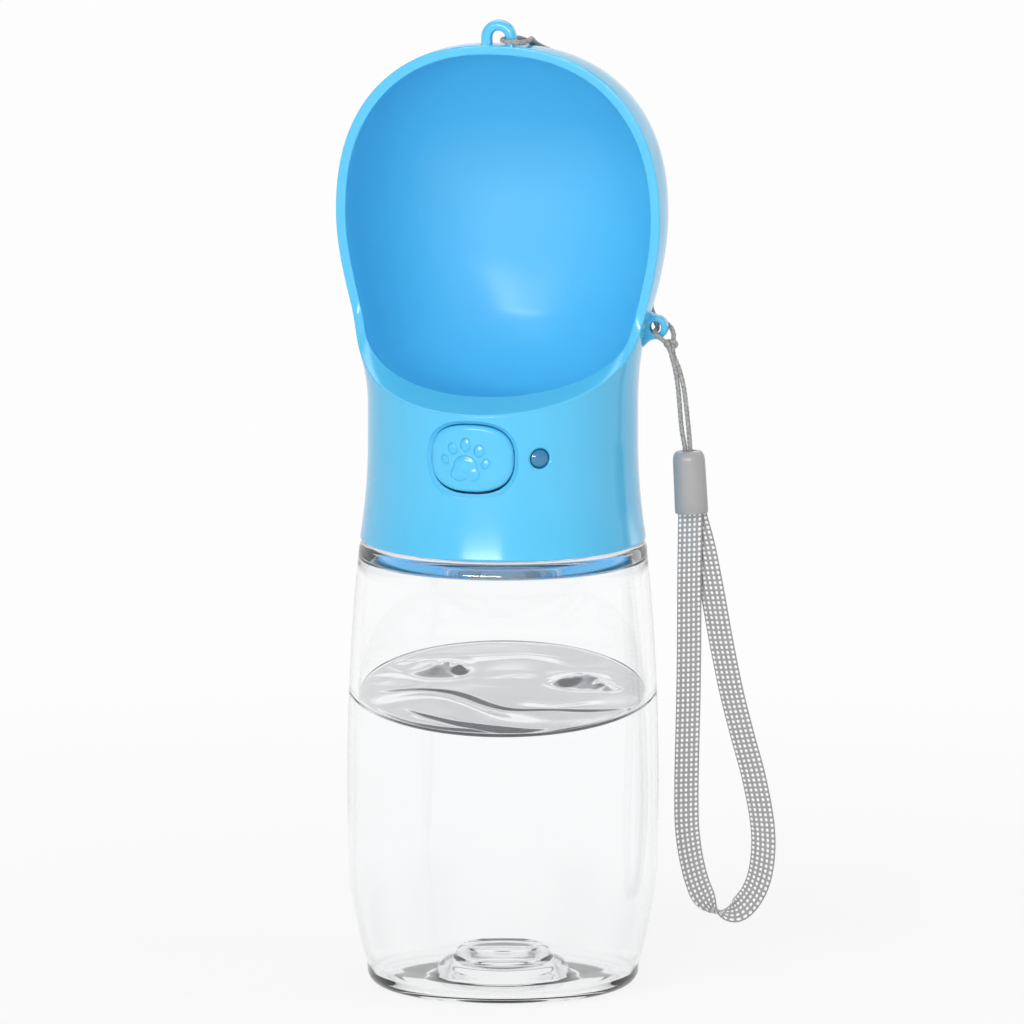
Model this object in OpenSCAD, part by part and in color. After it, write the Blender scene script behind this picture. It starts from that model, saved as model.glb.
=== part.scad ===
// Travel water bottle for dogs: a clear bottle with a screwed-on head. The head is a collar
// with a push-button valve in it and a half-egg drinking scoop above it.
// Origin: centre of the bottle's base on the surface it stands on. +Z up, the button faces -Y.

/* [Bottle] */
// Height of the bottle's shoulder
bottle_h = 106.9; // [95:0.1:125]
// Radius of the bottle's shoulder, and of the collar that stands over it
collar_r = 34; // [33.5:0.1:36]
// How far the bottle's side bulges past its shoulder
side_bulge = 3.05; // [0.5:0.05:5]
// Height at which the bottle is widest
bulge_z = 49; // [40:1:60]
// Thickness of the bottle's wall
bottle_wall = 2.2; // [1.2:0.1:2.6]
// Outer radius of the bottle's foot ring
foot_r = 29.5; // [27:0.1:31]
// Width of the foot ring
foot_w = 5.5; // [3:0.1:8]
// Height of the punt inside the bottle's base
punt_h = 9.6; // [7:0.1:12]
// Radius of the flat top of the punt
punt_top_r = 10.4; // [8:0.1:12]
// Radius of the punt where it leaves the floor
punt_base_r = 16; // [14:0.1:19]

/* [Neck and thread] */
// Gap between the bottle's neck and the collar's wall
neck_gap = 2; // [1.6:0.1:3]
// Thickness of the neck's wall
neck_wall = 2.2; // [1.6:0.1:3]
// Height of the neck above the shoulder
neck_h = 11; // [10.7:0.1:11.6]
// Rise of the thread in one turn
pitch = 4; // [3.6:0.1:4.2]
// Turns of thread
turns = 1.25; // [1:0.25:1.5]
// How far the thread stands out of the neck
thread_h = 1.3; // [0.9:0.1:1.4]
// Thickness of the sealing gasket on the bottle's mouth
gasket_t = 2; // [1.5:0.1:3]

/* [Collar] */
// Radius of the collar at its waist
waist_r = 32.1; // [31.5:0.1:33]
// Height of the waist above the collar's lower edge
waist_h = 23.7; // [20:0.1:30]
// Height of the scoop's front lip above the collar's lower edge
lip_h = 34.7; // [34.4:0.1:40]
// Thickness of the collar's wall at its waist
collar_wall = 2.5; // [2:0.1:2.8]
// Thickness of the valve carrier's disc
deck_t = 2.8; // [2:0.1:3.1]

/* [Scoop] */
// Width of the scoop
scoop_w = 79.2; // [74:0.2:84]
// Height of the scoop above its front lip
scoop_h = 84.5; // [76:0.5:95]
// Height of the scoop's dome above its widest slice
dome_h = 41.5; // [36:0.5:46]
// How far the scoop's back stands behind the bottle's axis
scoop_back = 34; // [33:0.1:37]
// How far the scoop's mouth lies in front of the bottle's axis
mouth_y = 5.4; // [3:0.1:7]
// Height over which the lip sweeps up into the mouth's sides
lip_rise = 21; // [17:0.5:26]
// Thickness of the scoop's wall
scoop_wall = 2.4; // [2:0.1:3]
// Thickness of the scoop's floor at the water outlet
floor_t = 2.2; // [1.8:0.1:2.6]
// How far the scoop's floor dips below the front lip
bowl_dip = 2.7; // [2.2:0.1:3.2]
// Height over which the floor curves up into the scoop's wall
bowl_h = 18; // [14:0.5:24]
// Radius of the water outlet
outlet_r = 4.5; // [4:0.1:5]

/* [Button] */
// Width of the button
button_w = 20; // [18:0.1:21]
// Height of the button
button_h = 16; // [14:0.1:17]
// Gap round the button
button_gap = 0.35; // [0.3:0.05:0.6]
// Travel of the button
button_travel = 3.5; // [2.5:0.1:3.8]
// Radius of the push rod
rod_r = 2.5; // [2:0.1:2.6]
// Depth of the paw print
paw_depth = 0.5; // [0.3:0.05:0.8]

/* [Window] */
// Radius of the round window
window_r = 2.45; // [2:0.05:3]
// Distance from the button's centre to the window's, round the collar
window_arc = 16.8; // [15.6:0.1:20]

/* [Valve] */
// Radius of the duct's bore
duct_r = 6.5; // [6.2:0.1:6.8]
// Thickness of the duct's wall
duct_wall = 2; // [1.6:0.1:2.4]
// Radius of the hole in the valve seat
seat_r = 4; // [3.6:0.1:4.2]
// Thickness of the valve seat
seat_t = 3; // [2:0.1:3.4]
// Radius of the valve stem
stem_r = 2; // [1.6:0.1:2.2]
// Radius of the valve plug
plug_r = 8; // [7:0.1:9]

/* [Loops and strings] */
// Width of the loop on top of the scoop
loop_w = 8.6; // [7:0.1:10]
// Radius of the hole in that loop
loop_hole_r = 1.55; // [1.4:0.05:1.8]
// Depth of the loop from front to back
loop_d = 3; // [2.4:0.1:4]
// Radius of the hole in the side lug
lug_hole_r = 1.4; // [1.3:0.05:1.6]
// Outer radius of the side lug
lug_r = 2.9; // [2.7:0.05:3.2]
// Thickness of the side lug
lug_t = 2.6; // [2:0.1:3]
// Diameter of the string
string_d = 1.2; // [1:0.05:1.25]
// Width of the strap
strap_w = 6; // [5:0.1:6.5]
// Thickness of the strap
strap_t = 1.2; // [1:0.1:1.6]
// Width of the bead
bead_w = 8; // [7.6:0.1:9]
// Depth of the bead from front to back
bead_d = 6; // [5:0.1:7]
// Length of the bead
bead_l = 15; // [13:0.5:17]

/* [Hidden] */
$fn = 96;

blue = "#5fbcfa";
steel = "#b8bcc2";
white = "#eef0f2";
rubber = "#d9dde2";
grey = "#a9adb1";

fit = 0.05; // running fit on a radius
seat_gap = 0.1; // gap between a gasket and what it seals

// heights, from the bottle's base up
neck_top = bottle_h + neck_h;
collar_z = bottle_h + 0.4;
gasket_z = neck_top + seat_gap;
deck_z = gasket_z + gasket_t + seat_gap;
deck_top = deck_z + deck_t;
lip_z = collar_z + lip_h;
roof_z = lip_z - 0.5; // chamber's roof at the collar's wall
bowl_z = lip_z - bowl_dip; // lowest level of the scoop's floor
hub_z = bowl_z - floor_t; // underside of the floor round the outlet
waist_z = collar_z + waist_h;
scoop_top = lip_z + scoop_h;
wide_z = scoop_top - dome_h;
button_z = deck_top + button_h / 2 + 0.7;

// radii
side_r = collar_r + side_bulge;
bore_r = waist_r - collar_wall;
neck_r = bore_r - neck_gap;
neck_in = neck_r - neck_wall;
carrier_r = bore_r - 0.25;
ridge_r = neck_r + 0.3;
lug_z = lip_z + 17;
lug_y = 3;

// ---- shapes shared by the pieces ----

function smooth(u) = u <= 0 ? 0 : u >= 1 ? 1 : u * u * (3 - 2 * u);
function signed_pow(v, p) = sign(v) * pow(abs(v), p);

// one slice of the scoop's outside at height z, drawn in by inset, with its top lowered by low
round_from = 140 / 142; // share of the lip's height at which the collar turns into the scoop
function turn_z() = lip_z * round_from;
function dome(z, low, p) = z <= wide_z ? 1
    : pow(max(0, 1 - pow((z - wide_z) / (dome_h - low), p)), 1 / p);
function foot_flare(z) = (collar_r - waist_r) * pow(max(0, (waist_z - z) / waist_h), 2);
function widen(z, z1) = smooth((z - turn_z()) / (z1 - turn_z()));
function slice_w(z) = waist_r + foot_flare(z) + (scoop_w / 2 - waist_r) * widen(z, wide_z);
function slice_back(z) = waist_r + foot_flare(z) + (scoop_back - waist_r) * widen(z, lip_z + 28);
function slice_front(z) = waist_r + foot_flare(z);
function slice_mid(z) = -(mouth_y + 0.6) * widen(z, lip_z + 23);
function slice_pow(z) = 2 + 0.5 * smooth((z - lip_z - 8) / 20);
function slice_point(a, z, inset, low) =
    let (mid = slice_mid(z), k = 2 / slice_pow(z), front = sin(a) < 0,
        reach = front ? slice_front(z) + mid : slice_back(z) - mid,
        dw = dome(z, low, 2.3), dd = dome(z, low, 2.2))
    [(slice_w(z) - inset) * dw * signed_pow(cos(a), k),
        mid + (reach - inset) * dd * signed_pow(sin(a), k), z];

ring_n = 60;
function ring(z, inset, low) =
    [for (i = [0 : ring_n - 1]) slice_point(360 * (i + 0.5) / ring_n, z, inset, low)];

// closes a stack of rings of equal count into one solid
module loft(rings) {
    n = len(rings[0]);
    m = len(rings);
    points = [for (r = rings) each r];
    sides = [for (j = [0 : m - 2], i = [0 : n - 1], k = [0, 1])
        let (a = j * n + i, b = j * n + (i + 1) % n)
        k == 0 ? [a, b + n, b] : [a, a + n, b + n]];
    bottom = [for (i = [0 : n - 1]) i];
    top = [for (i = [n - 1 : -1 : 0]) (m - 1) * n + i];
    polyhedron(points, concat([bottom], sides, [top]));
}

// sweeps a flat section along a path; wide[i] is the direction of the section's first axis there
function unit(v) = v / norm(v);
function tangent(p, i) = unit(p[min(i + 1, len(p) - 1)] - p[max(i - 1, 0)]);
function swept(p, wide, section) = [for (i = [0 : len(p) - 1])
    let (t = tangent(p, i), w = unit(wide[i] - t * (wide[i] * t)), h = cross(t, w))
    [for (s = section) p[i] + w * s[0] + h * s[1]]];
function oval(w, h, n) = [for (i = [0 : n - 1])
    [w / 2 * cos(360 * (i + 0.5) / n), -h / 2 * sin(360 * (i + 0.5) / n)]];

// smooths a route: points on a curve through the given ones, steps to each span
function between(p, i, u) =
    let (a = p[max(i - 1, 0)], b = p[i], c = p[i + 1], d = p[min(i + 2, len(p) - 1)])
    b + 0.5 * u * ((c - a) + u * ((2 * a - 5 * b + 4 * c - d) + u * (3 * (b - c) + d - a)));
function curve(p, steps) = concat([for (i = [0 : len(p) - 2], k = [0 : steps - 1])
    between(p, i, k / steps)], [p[len(p) - 1]]);

// a screw thread's ridge, from radius root out or in to radius crest, fading at both ends
thread_step = 15;
module thread(z0, root, crest, half_root, half_crest) {
    steps = round(turns * 360 / thread_step);
    rings = [for (i = [0 : steps])
        let (a = i * thread_step, z = z0 + pitch * a / 360,
            fade = smooth(min(i, steps - i) / 2) * 0.9 + 0.1, r = root + (crest - root) * fade,
            d = [cos(a), sin(a), 0], up = [0, 0, 1])
        root < crest
            ? [d * root + up * (z - half_root), d * root + up * (z + half_root),
                d * r + up * (z + half_crest), d * r + up * (z - half_crest)]
            : [d * r + up * (z - half_crest), d * r + up * (z + half_crest),
                d * root + up * (z + half_root), d * root + up * (z - half_root)]];
    loft(rings);
}

// a coil spring along +Z, with its ends closed on the last turn
module coil(r, wire, length, coils) {
    steps = 10;
    dead = 1; // closed turns at each end
    all = coils + 2 * dead;
    free = length - wire * (2 * dead + 1);
    path = [for (i = [0 : all * steps])
        let (t = i / steps, live = min(max(t - dead, 0), coils),
            z = wire / 2 + wire * (min(t, dead) + max(t - dead - coils, 0)) * 1.02
                + (free - 0.04 * wire) * live / coils)
        [r * cos(360 * t), r * sin(360 * t), z]];
    loft(swept(path, [for (p = path) [p[0], p[1], 0]], oval(wire, wire, 6)));
}

module ringed(r_out, r_in, h) {
    difference() {
        cylinder(r = r_out, h = h);
        translate([0, 0, -1]) cylinder(r = r_in, h = h + 2);
    }
}

module on_front(z) {
    translate([0, 0, z]) rotate([90, 0, 0]) children();
}

// ---- bottle ----

heel_r = foot_r + 2.9; // radius at the top of the heel's round
heel_z = 5;
hip_z = 27; // height at which the side starts to draw in to the heel
function side_at(z) = side_r - side_bulge * pow((z - bulge_z) / (bottle_h - bulge_z), 2);
function side_curve(in, z0, z1) = [for (i = [0 : 16])
    let (z = z0 + (z1 - z0) * i / 16) [side_at(z) - in, z]];
function corner(r, z, round_r, a0, a1) = [for (i = [0 : 6])
    let (a = a0 + (a1 - a0) * i / 6) [r + round_r * cos(a), z + round_r * sin(a)]];

// the curve from the side in to the heel, drawn in by in
function bend(a, b, c, u) = (1 - u) * (1 - u) * a + 2 * u * (1 - u) * b + u * u * c;
function heel_curve(in) = [for (i = [0 : 8]) bend([heel_r - in, heel_z + in * 0.6],
    [side_at(hip_z) - 0.35 - in, hip_z - 8], [side_at(hip_z) - in, hip_z], i / 8)];

shoulder_round = 1.6;
base_t = 2.4; // thickness of the bottle's base over the foot ring
module bottle_outside() {
    punt_in = bottle_wall;
    polygon(concat(
        [[0, punt_h - punt_in], [punt_top_r - punt_in, punt_h - punt_in]],
        [[punt_base_r - punt_in, 1.2], [foot_r - foot_w, 0.6], [foot_r - foot_w + 0.8, 0]],
        [[foot_r - 0.8, 0]],
        corner(foot_r - 0.8, 3.6, 3.6, -75, -10),
        heel_curve(0),
        side_curve(0, hip_z + 4, bottle_h - shoulder_round),
        corner(side_at(bottle_h) - shoulder_round, bottle_h - shoulder_round, shoulder_round, 12, 90),
        [[neck_r, bottle_h], [neck_r, neck_top - 0.5], [neck_r - 0.5, neck_top], [0, neck_top]]));
}

module bottle_inside() {
    wall = bottle_wall;
    mouth = neck_in;
    polygon(concat(
        [[0, punt_h], [punt_top_r - 1, punt_h], [punt_top_r, punt_h - 0.6]],
        [[punt_base_r - 1, base_t + 1.6], [punt_base_r + 1, base_t + 1.1]],
        corner(foot_r - 3.2, base_t + 4.7, 3.6, -90, -20),
        heel_curve(wall),
        side_curve(wall, hip_z + 4, bottle_h - wall - 2.4),
        [[side_at(bottle_h) - wall - 2, bottle_h - wall], [mouth + 0.8, bottle_h - wall]],
        [[mouth, bottle_h - wall + 0.8], [mouth, neck_top + 1], [0, neck_top + 1]]));
}

thread_z = bottle_h + 3.6; // start of the neck's thread
module bottle() {
    color("#dfe9ee", 0.4) {
        difference() {
            rotate_extrude() bottle_outside();
            rotate_extrude() bottle_inside();
        }
        thread(thread_z, neck_r - 0.4, neck_r + thread_h, 1.1, 0.5);
    }
}

// ---- head ----

function steps_to(z0, z1, n) = [for (i = [0 : n]) z0 + (z1 - z0) * i / n];
dome_steps = 11;
function dome_heights(low) = [for (i = [1 : dome_steps])
    wide_z + (dome_h - low) * sin(89.3 * i / dome_steps)];

module scoop_outside() {
    heights = concat(steps_to(collar_z, waist_z, 5), steps_to(turn_z(), wide_z, 11),
        dome_heights(0));
    loft([for (z = heights) ring(z, 0, 0)]);
}

// the floor is a bowl: each slice is drawn in by a quarter ellipse that ends at the outlet
bowl_reach = waist_r - scoop_wall - outlet_r - 0.8;
function bowl_inset(z) = bowl_reach * (1 - sqrt(1 - pow(max(0, 1 - (z - bowl_z) / bowl_h), 2)));
module scoop_inside() {
    low = scoop_wall;
    bowl = [for (i = [0 : 9]) bowl_z + bowl_h * (1 - cos(90 * i / 9))];
    heights = concat(bowl, steps_to(bowl_z + bowl_h + 4, wide_z, 6), dome_heights(low));
    loft([for (z = heights) ring(z, scoop_wall + bowl_inset(z), low)]);
}

// the room inside the collar, under the scoop's floor
module chamber() {
    hub_r = outlet_r + 4;
    rotate_extrude() polygon([[0, collar_z - 1], [bore_r, collar_z - 1], [bore_r, roof_z],
        [bore_r - 9.4, roof_z - 1], [hub_r + 5.5, hub_z + 1.1], [hub_r, hub_z], [0, hub_z]]);
}

// side view of the scoop's open mouth: the lip sweeps up and back into an upright edge
lip_sweep = 0.43;
module mouth_cut() {
    front = waist_r;
    deep = front - mouth_y;
    sweep = [for (i = [0 : 20]) let (u = 1 - pow(1 - i / 20, 2.4))
        [-front + deep * u, lip_z + lip_rise * (1 - pow(1 - u, lip_sweep))]];
    translate([-scoop_w, 0, 0]) rotate([90, 0, 90]) linear_extrude(2 * scoop_w)
        polygon(concat([[-2 * front, lip_z]], sweep,
            [[-mouth_y, scoop_top + 10], [-2 * front, scoop_top + 10]]));
}

module button_outline(grow) {
    scale([(button_w / 2 + grow), (button_h / 2 + grow)]) circle(r = 1);
}

loop_z = scoop_top + 3.1; // centre of the loop's hole
loop_y = -mouth_y + loop_d / 2 + 0.1;
module top_loop() {
    translate([0, loop_y + loop_d / 2, 0]) rotate([90, 0, 0]) linear_extrude(loop_d)
        difference() {
            union() {
                translate([0, loop_z]) circle(d = loop_w * 0.96);
                translate([-loop_w / 2, scoop_top - 1.6]) square([loop_w, loop_z - scoop_top + 1.6]);
            }
            translate([0, loop_z]) circle(r = loop_hole_r);
            translate([-loop_hole_r, scoop_top + 0.4])
                square([2 * loop_hole_r, loop_z - scoop_top - 0.4]);
        }
}

lug_x = scoop_w / 2 - lug_r;
module side_lug() {
    translate([lug_x, lug_y + lug_t / 2, lug_z]) rotate([90, 0, 0]) linear_extrude(lug_t)
        union() {
            circle(r = lug_r);
            translate([-4.2, -lug_r]) square([4.2, 2 * lug_r]);
        }
}

screw_r = 1.5;
boss_r = 3.2;
screw_in = 9; // how far a screw reaches into its boss
screw_circle = 19;
screw_angles = [90, 210, 330];
module at_screws() {
    for (a = screw_angles) rotate([0, 0, a]) translate([screw_circle, 0, 0]) children();
}

module at_window() {
    rotate([0, 0, window_arc / waist_r * 180 / PI]) translate([0, 0, button_z])
        rotate([90, 0, 0]) children();
}

// the whole blue moulding, before its exact holes are cut
module head_blank() {
    resize([0, 0, 0]) difference() {
        scoop_outside();
        scoop_inside();
        mouth_cut();
    }
}

module head_shell() {
    shell_out = waist_r + 1;
    color(blue) {
        difference() {
            union() {
                head_blank();
                top_loop();
                side_lug();
            }
            chamber();
            translate([0, 0, hub_z - 1]) cylinder(r = outlet_r, h = floor_t + 2);
            on_front(button_z) linear_extrude(shell_out + 2) button_outline(button_gap);
            at_window() cylinder(r = window_r + fit, h = shell_out + 2);
            at_window() translate([0, 0, waist_r - 0.5]) cylinder(r = window_r + 0.5, h = 4);
            translate([lug_x, lug_y + lug_t, lug_z]) rotate([90, 0, 0])
                cylinder(r = lug_hole_r, h = 2 * lug_t);
        }
        thread(thread_z - pitch / 2 + 0.1, bore_r + 0.5, ridge_r, 1.1, 0.5);
        difference() {
            translate([0, 0, deck_top + seat_gap]) at_screws()
                cylinder(r = boss_r, h = roof_z - 0.8 - deck_top - seat_gap);
            translate([0, 0, deck_top - 1]) at_screws() cylinder(r = screw_r, h = screw_in + 3);
        }
    }
}

// ---- button ----

flange_y = bore_r - 2.4; // front face of the button's flange, from the axis
flange_t = 1.5;
socket_r = 3.4;
socket_l = 3;
spring_wire = 0.7;
rod_start = flange_y + 1.5;
// toes of the paw: across, up, width, height, lean
toes = [[-6.3, -0.4, 1.7, 2.3, 22], [-4.4, 2.3, 2.2, 2.8, 8], [-1.2, 3.3, 2.4, 3.3, -2],
    [2.1, 1.9, 2.4, 3.0, -14], [3.7, -1.2, 2.05, 2.4, -28]];
module paw() {
    for (t = toes) translate([t[0], t[1]]) rotate(t[4]) scale([t[2] / 2, t[3] / 2]) circle(r = 1, $fn = 24);
    translate([-1.3, -2]) scale([2.8, 2.5]) circle(r = 1, $fn = 32);
    translate([-3, -3.8]) scale([1.8, 1.7]) circle(r = 1, $fn = 32);
    translate([0.4, -3.8]) scale([1.8, 1.7]) circle(r = 1, $fn = 32);
}

module button_cap() {
    face_r = waist_r - 0.1;
    color(blue) difference() {
        union() {
            intersection() {
                on_front(button_z) linear_extrude(face_r + 1) button_outline(0);
                translate([0, 0, button_z - button_h]) cylinder(r = face_r, h = 2 * button_h);
                translate([-button_w, -face_r - 1, button_z - button_h])
                    cube([2 * button_w, face_r + 1 - flange_y + 0.2, 2 * button_h]);
            }
            on_front(button_z) translate([0, 0, flange_y - flange_t]) linear_extrude(flange_t)
                scale([button_w / 2 + 1.1, button_h / 2 + 0.3]) circle(r = 1);
            on_front(button_z) translate([0, 0, flange_y - flange_t - socket_l])
                cylinder(r = socket_r, h = socket_l + 0.1);
        }
        on_front(button_z) translate([0, 0, flange_y - flange_t - socket_l - 1])
            cylinder(r = rod_r + fit, h = rod_start - flange_y + flange_t + socket_l + 1);
        difference() {
            on_front(button_z) linear_extrude(face_r + 1) paw();
            translate([0, 0, button_z - button_h]) cylinder(r = face_r - paw_depth, h = 2 * button_h);
        }
    }
}

// the slope on the stem's head: height above the button's axis equals y + slope_shift
slope_shift = 1;
slope_gap = 0.25;
module above_slope(shift) {
    big = 40;
    translate([0, 0, button_z]) rotate([90, 0, 90]) translate([0, 0, -big / 2]) linear_extrude(big)
        polygon([[-big, shift - big], [big, shift + big], [-big, shift + big]]);
}

module push_rod() {
    color(white) intersection() {
        on_front(button_z) translate([0, 0, -rod_r - slope_shift]) cylinder(r = rod_r,
            h = rod_start + rod_r + slope_shift);
        above_slope(slope_shift + slope_gap);
    }
}

gland_y = duct_r + duct_wall + 4.6; // front face of the gland, from the axis
gland_r = 4.6;
module button_spring() {
    length = flange_y - flange_t - gland_y - 0.3;
    color(steel) translate([0, -gland_y - 0.15, button_z]) rotate([90, 0, 0])
        coil(socket_r + 0.45 + spring_wire / 2, spring_wire, length, 5);
}

ring_y = gland_y - 1.8; // middle of the O-ring's groove
ring_w = 0.75; // half the O-ring's thickness
module rod_ring() {
    color(rubber) on_front(button_z) translate([0, 0, ring_y]) rotate_extrude()
        translate([rod_r + fit + ring_w, 0]) circle(r = ring_w, $fn = 24);
}

// ---- valve ----

seat_under = deck_z - 7.2; // underside of the valve seat
outlet_gasket_t = 1.6;
duct_top = hub_z - outlet_gasket_t - 2 * seat_gap;
module valve_carrier() {
    duct_out = duct_r + duct_wall;
    color(white) difference() {
        union() {
            translate([0, 0, deck_z]) cylinder(r = carrier_r, h = deck_t);
            translate([0, 0, seat_under]) cylinder(r = duct_out + 1, h = deck_z - seat_under + 0.1);
            translate([0, 0, deck_top - 0.1]) cylinder(r = duct_out, h = duct_top - deck_top + 0.1);
            on_front(button_z) cylinder(r = gland_r, h = gland_y);
        }
        translate([0, 0, seat_under + seat_t]) cylinder(r = duct_r, h = duct_top - seat_under);
        translate([0, 0, duct_top]) cylinder(r = duct_out + 0.3, h = gland_r);
        translate([0, 0, seat_under - 1]) cylinder(r = seat_r, h = seat_t + 2);
        on_front(button_z) cylinder(r = rod_r + fit, h = gland_y + 1);
        on_front(button_z) translate([0, 0, ring_y - ring_w - 0.1])
            cylinder(r = rod_r + 2 * ring_w + 0.15, h = 2 * ring_w + 0.2);
        translate([0, 0, deck_z - 1]) at_screws() cylinder(r = screw_r + 0.2, h = deck_t + 2);
    }
}

module carrier_screws() {
    head_h = 1.7;
    color(steel) at_screws() {
        translate([0, 0, deck_z - head_h - 0.05]) difference() {
            cylinder(r = 2.8, h = head_h);
            translate([0, 0, -1]) cylinder(r = 1.2, h = 2, $fn = 6);
        }
        translate([0, 0, deck_z - 0.2]) cylinder(r = screw_r - 0.04, h = deck_t + screw_in + 0.2);
    }
}

stem_head_r = duct_r - 0.3;
spring_room = 6.5; // least height of the room for the stem's spring
stem_head_z = seat_under + seat_t + spring_room + button_travel; // underside of the stem's head
plug_t = 2.8;
seal_t = 0.95;
plug_top = seat_under - seal_t - fit;
stem_foot = plug_top - plug_t;
module valve_stem() {
    notch_r = 1.7;
    color(white) difference() {
        union() {
            difference() {
                translate([0, 0, stem_head_z])
                    cylinder(r = stem_head_r, h = duct_top - 0.2 - stem_head_z);
                above_slope(slope_shift);
            }
            translate([0, 0, plug_top]) cylinder(r = stem_r, h = stem_head_z - plug_top + 0.1);
            translate([0, 0, stem_foot]) cylinder(r = stem_r - 0.5, h = plug_t + 0.1);
        }
        for (x = [-1, 1]) translate([x * stem_head_r, 0, stem_head_z - 1])
            cylinder(r = notch_r, h = 40);
        translate([0, 0, stem_foot - 1]) cylinder(r = 0.75, h = 6);
    }
}

module valve_spring() {
    wire = 0.6;
    z0 = seat_under + seat_t;
    color(steel) translate([0, 0, z0 + 0.15])
        coil(seat_r + 0.65 + wire / 2, wire, stem_head_z - z0 - 0.3, 5);
}

module valve_plug() {
    color(white) translate([0, 0, stem_foot]) ringed(plug_r, stem_r - 0.5 + fit, plug_t);
}

module plug_seal() {
    color(rubber) translate([0, 0, plug_top]) ringed(plug_r - 0.4, seat_r + 0.4, seal_t);
}

module plug_screw() {
    head_h = 1.3;
    color(steel) {
        translate([0, 0, stem_foot - head_h - 0.02]) cylinder(r = 2.3, h = head_h);
        translate([0, 0, stem_foot - 0.1]) cylinder(r = 0.72, h = 4);
    }
}

module outlet_gasket() {
    color(rubber) translate([0, 0, duct_top + seat_gap])
        ringed(duct_r + duct_wall, outlet_r + 0.6, outlet_gasket_t);
}

module neck_gasket() {
    color(rubber) translate([0, 0, gasket_z]) ringed(carrier_r, neck_in - 0.2, gasket_t);
}

module window_lens() {
    seat_y = bore_r - 1.5;
    color("#27506e") at_window() {
        translate([0, 0, seat_y + 1]) cylinder(r = window_r, h = waist_r - 0.7 - seat_y - 1);
        translate([0, 0, seat_y]) cylinder(r = window_r + 0.45, h = 1.1);
        intersection() {
            translate([0, 0, waist_r - 0.7 - 4.3]) sphere(r = 5);
            translate([0, 0, waist_r - 0.8]) cylinder(r = window_r, h = 2);
        }
    }
}

// ---- strings and strap ----

// half of the string that runs from the side lug up behind the scoop to the top loop
back_route = [[36.7, 3.05, 158.3], [36.6, 5, 158.5], [35.7, 8.3, 160], [35, 11.9, 163],
    [35.3, 15.2, 168], [35.6, 17.8, 175], [35.2, 20, 183], [33.8, 21.9, 191], [31.1, 22.8, 199.4],
    [27.6, 22.4, 206.7], [23.4, 20.8, 212.8], [18.8, 18, 218], [14, 14, 222.3], [9.3, 8.9, 225.7],
    [6, 4.4, 227.9], [3.6, 0.6, 229.2], [1, -1.6, 229.8], [0, -3.8, 230], [0.2, -5.7, 230],
    [2.4, -6.3, 229.7], [4.9, -5.7, 229], [6.4, -3.4, 228.4]];
// the second half lies beside the first, from the loop down to the upper of the two strings
second_start = [[7, -0.3, 228]];
second_end = [[36.5, 7, 161.4], [36.7, 5, 160], [36.7, 3.05, 159.7]];
pair_step = [0.65, -1.05, 0.35];
left_route = [[36.7, 3, 158.3], [36.8, 0.9, 158.2], [37.6, -0.5, 157.6], [39, -0.4, 156.2],
    [40, 0.6, 154.8], [40.2, 1.6, 153], [40.9, 2.4, 149], [41.9, 2.8, 142], [43, 3, 135],
    [43.8, 3, 129.7], [44.1, 3, 123.6]];
right_route = [[36.7, 3, 159.7], [36.8, 0.6, 159.7], [37.9, -1, 159.2], [39.8, -1, 157.6],
    [41.1, 0, 155.7], [41.6, 1.4, 153.4], [42.3, 2.4, 149], [43.3, 2.8, 142], [44.4, 3, 135],
    [45.2, 3, 129.7], [45.5, 3, 123.6]];
strap_route = [[45.3, 2.3, 118.2], [45.2, 2.3, 112], [45, 2.4, 98], [44.9, 2.6, 84],
    [44.7, 2.7, 70], [44.4, 2.8, 58], [44.2, 2.9, 47], [44.4, 3, 38], [45.7, 3.2, 29.5],
    [48, 3.5, 22.5], [51.6, 3.8, 18.5], [56.2, 4.2, 18.8], [60.2, 4.3, 23.4], [62.3, 4.2, 30],
    [62.6, 4.1, 39], [60.6, 4, 50.5], [57.6, 3.9, 61.5], [55, 3.9, 71.5], [52.6, 3.8, 83],
    [50.6, 3.7, 94], [48.2, 3.7, 106], [46, 3.7, 114.2], [45.5, 3.7, 118.2]];
string_sides = 8;

module string_tube(route, steps) {
    path = curve(route, steps);
    loft(swept(path, [for (p = path) [p[1] * 0.3 + 0.2, 1, 0.31]],
        oval(string_d, string_d, string_sides)));
}

module back_string() {
    beside = [for (i = [14 : -1 : 3]) back_route[i] + pair_step];
    color(grey) string_tube(concat(back_route, second_start, beside, second_end), 2);
}

module left_string() {
    color(grey) string_tube(left_route, 2);
}

module right_string() {
    color(grey) string_tube(right_route, 2);
}

module string_knot() {
    color(grey) translate([40.8, 1.4, 153.6]) scale([1.25, 1.2, 1]) sphere(r = 1.7, $fn = 24);
}

bead_x = 45.4;
bead_z = 114.6;
module string_bead() {
    slot = strap_w + 1;
    socket = 8; // how far the strings reach into the bead
    color(grey) translate([bead_x, 3, bead_z]) rotate([0, -3, 0]) difference() {
        linear_extrude(bead_l) offset(r = 2) square([bead_w - 4, bead_d - 4], center = true);
        translate([-slot / 2, -1.6, -1]) cube([slot, 3.2, 5]);
        translate([-1.5 * string_d, -string_d / 2 - 0.2, bead_l - socket])
            cube([3 * string_d, string_d + 0.4, socket + 1]);
    }
}

module wrist_strap() {
    path = curve(strap_route, 3);
    across = [for (i = [0 : len(path) - 1]) cross(tangent(path, i), [0, 1, 0])];
    color("#c9ccce") loft(swept(path, across, oval(strap_w, strap_t, 8)));
}

bottle();
head_shell();
button_cap();
push_rod();
button_spring();
rod_ring();
valve_carrier();
carrier_screws();
valve_stem();
valve_spring();
valve_plug();
plug_seal();
plug_screw();
outlet_gasket();
neck_gasket();
window_lens();
back_string();
left_string();
right_string();
string_knot();
string_bead();
wrist_strap();
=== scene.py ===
import math

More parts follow.
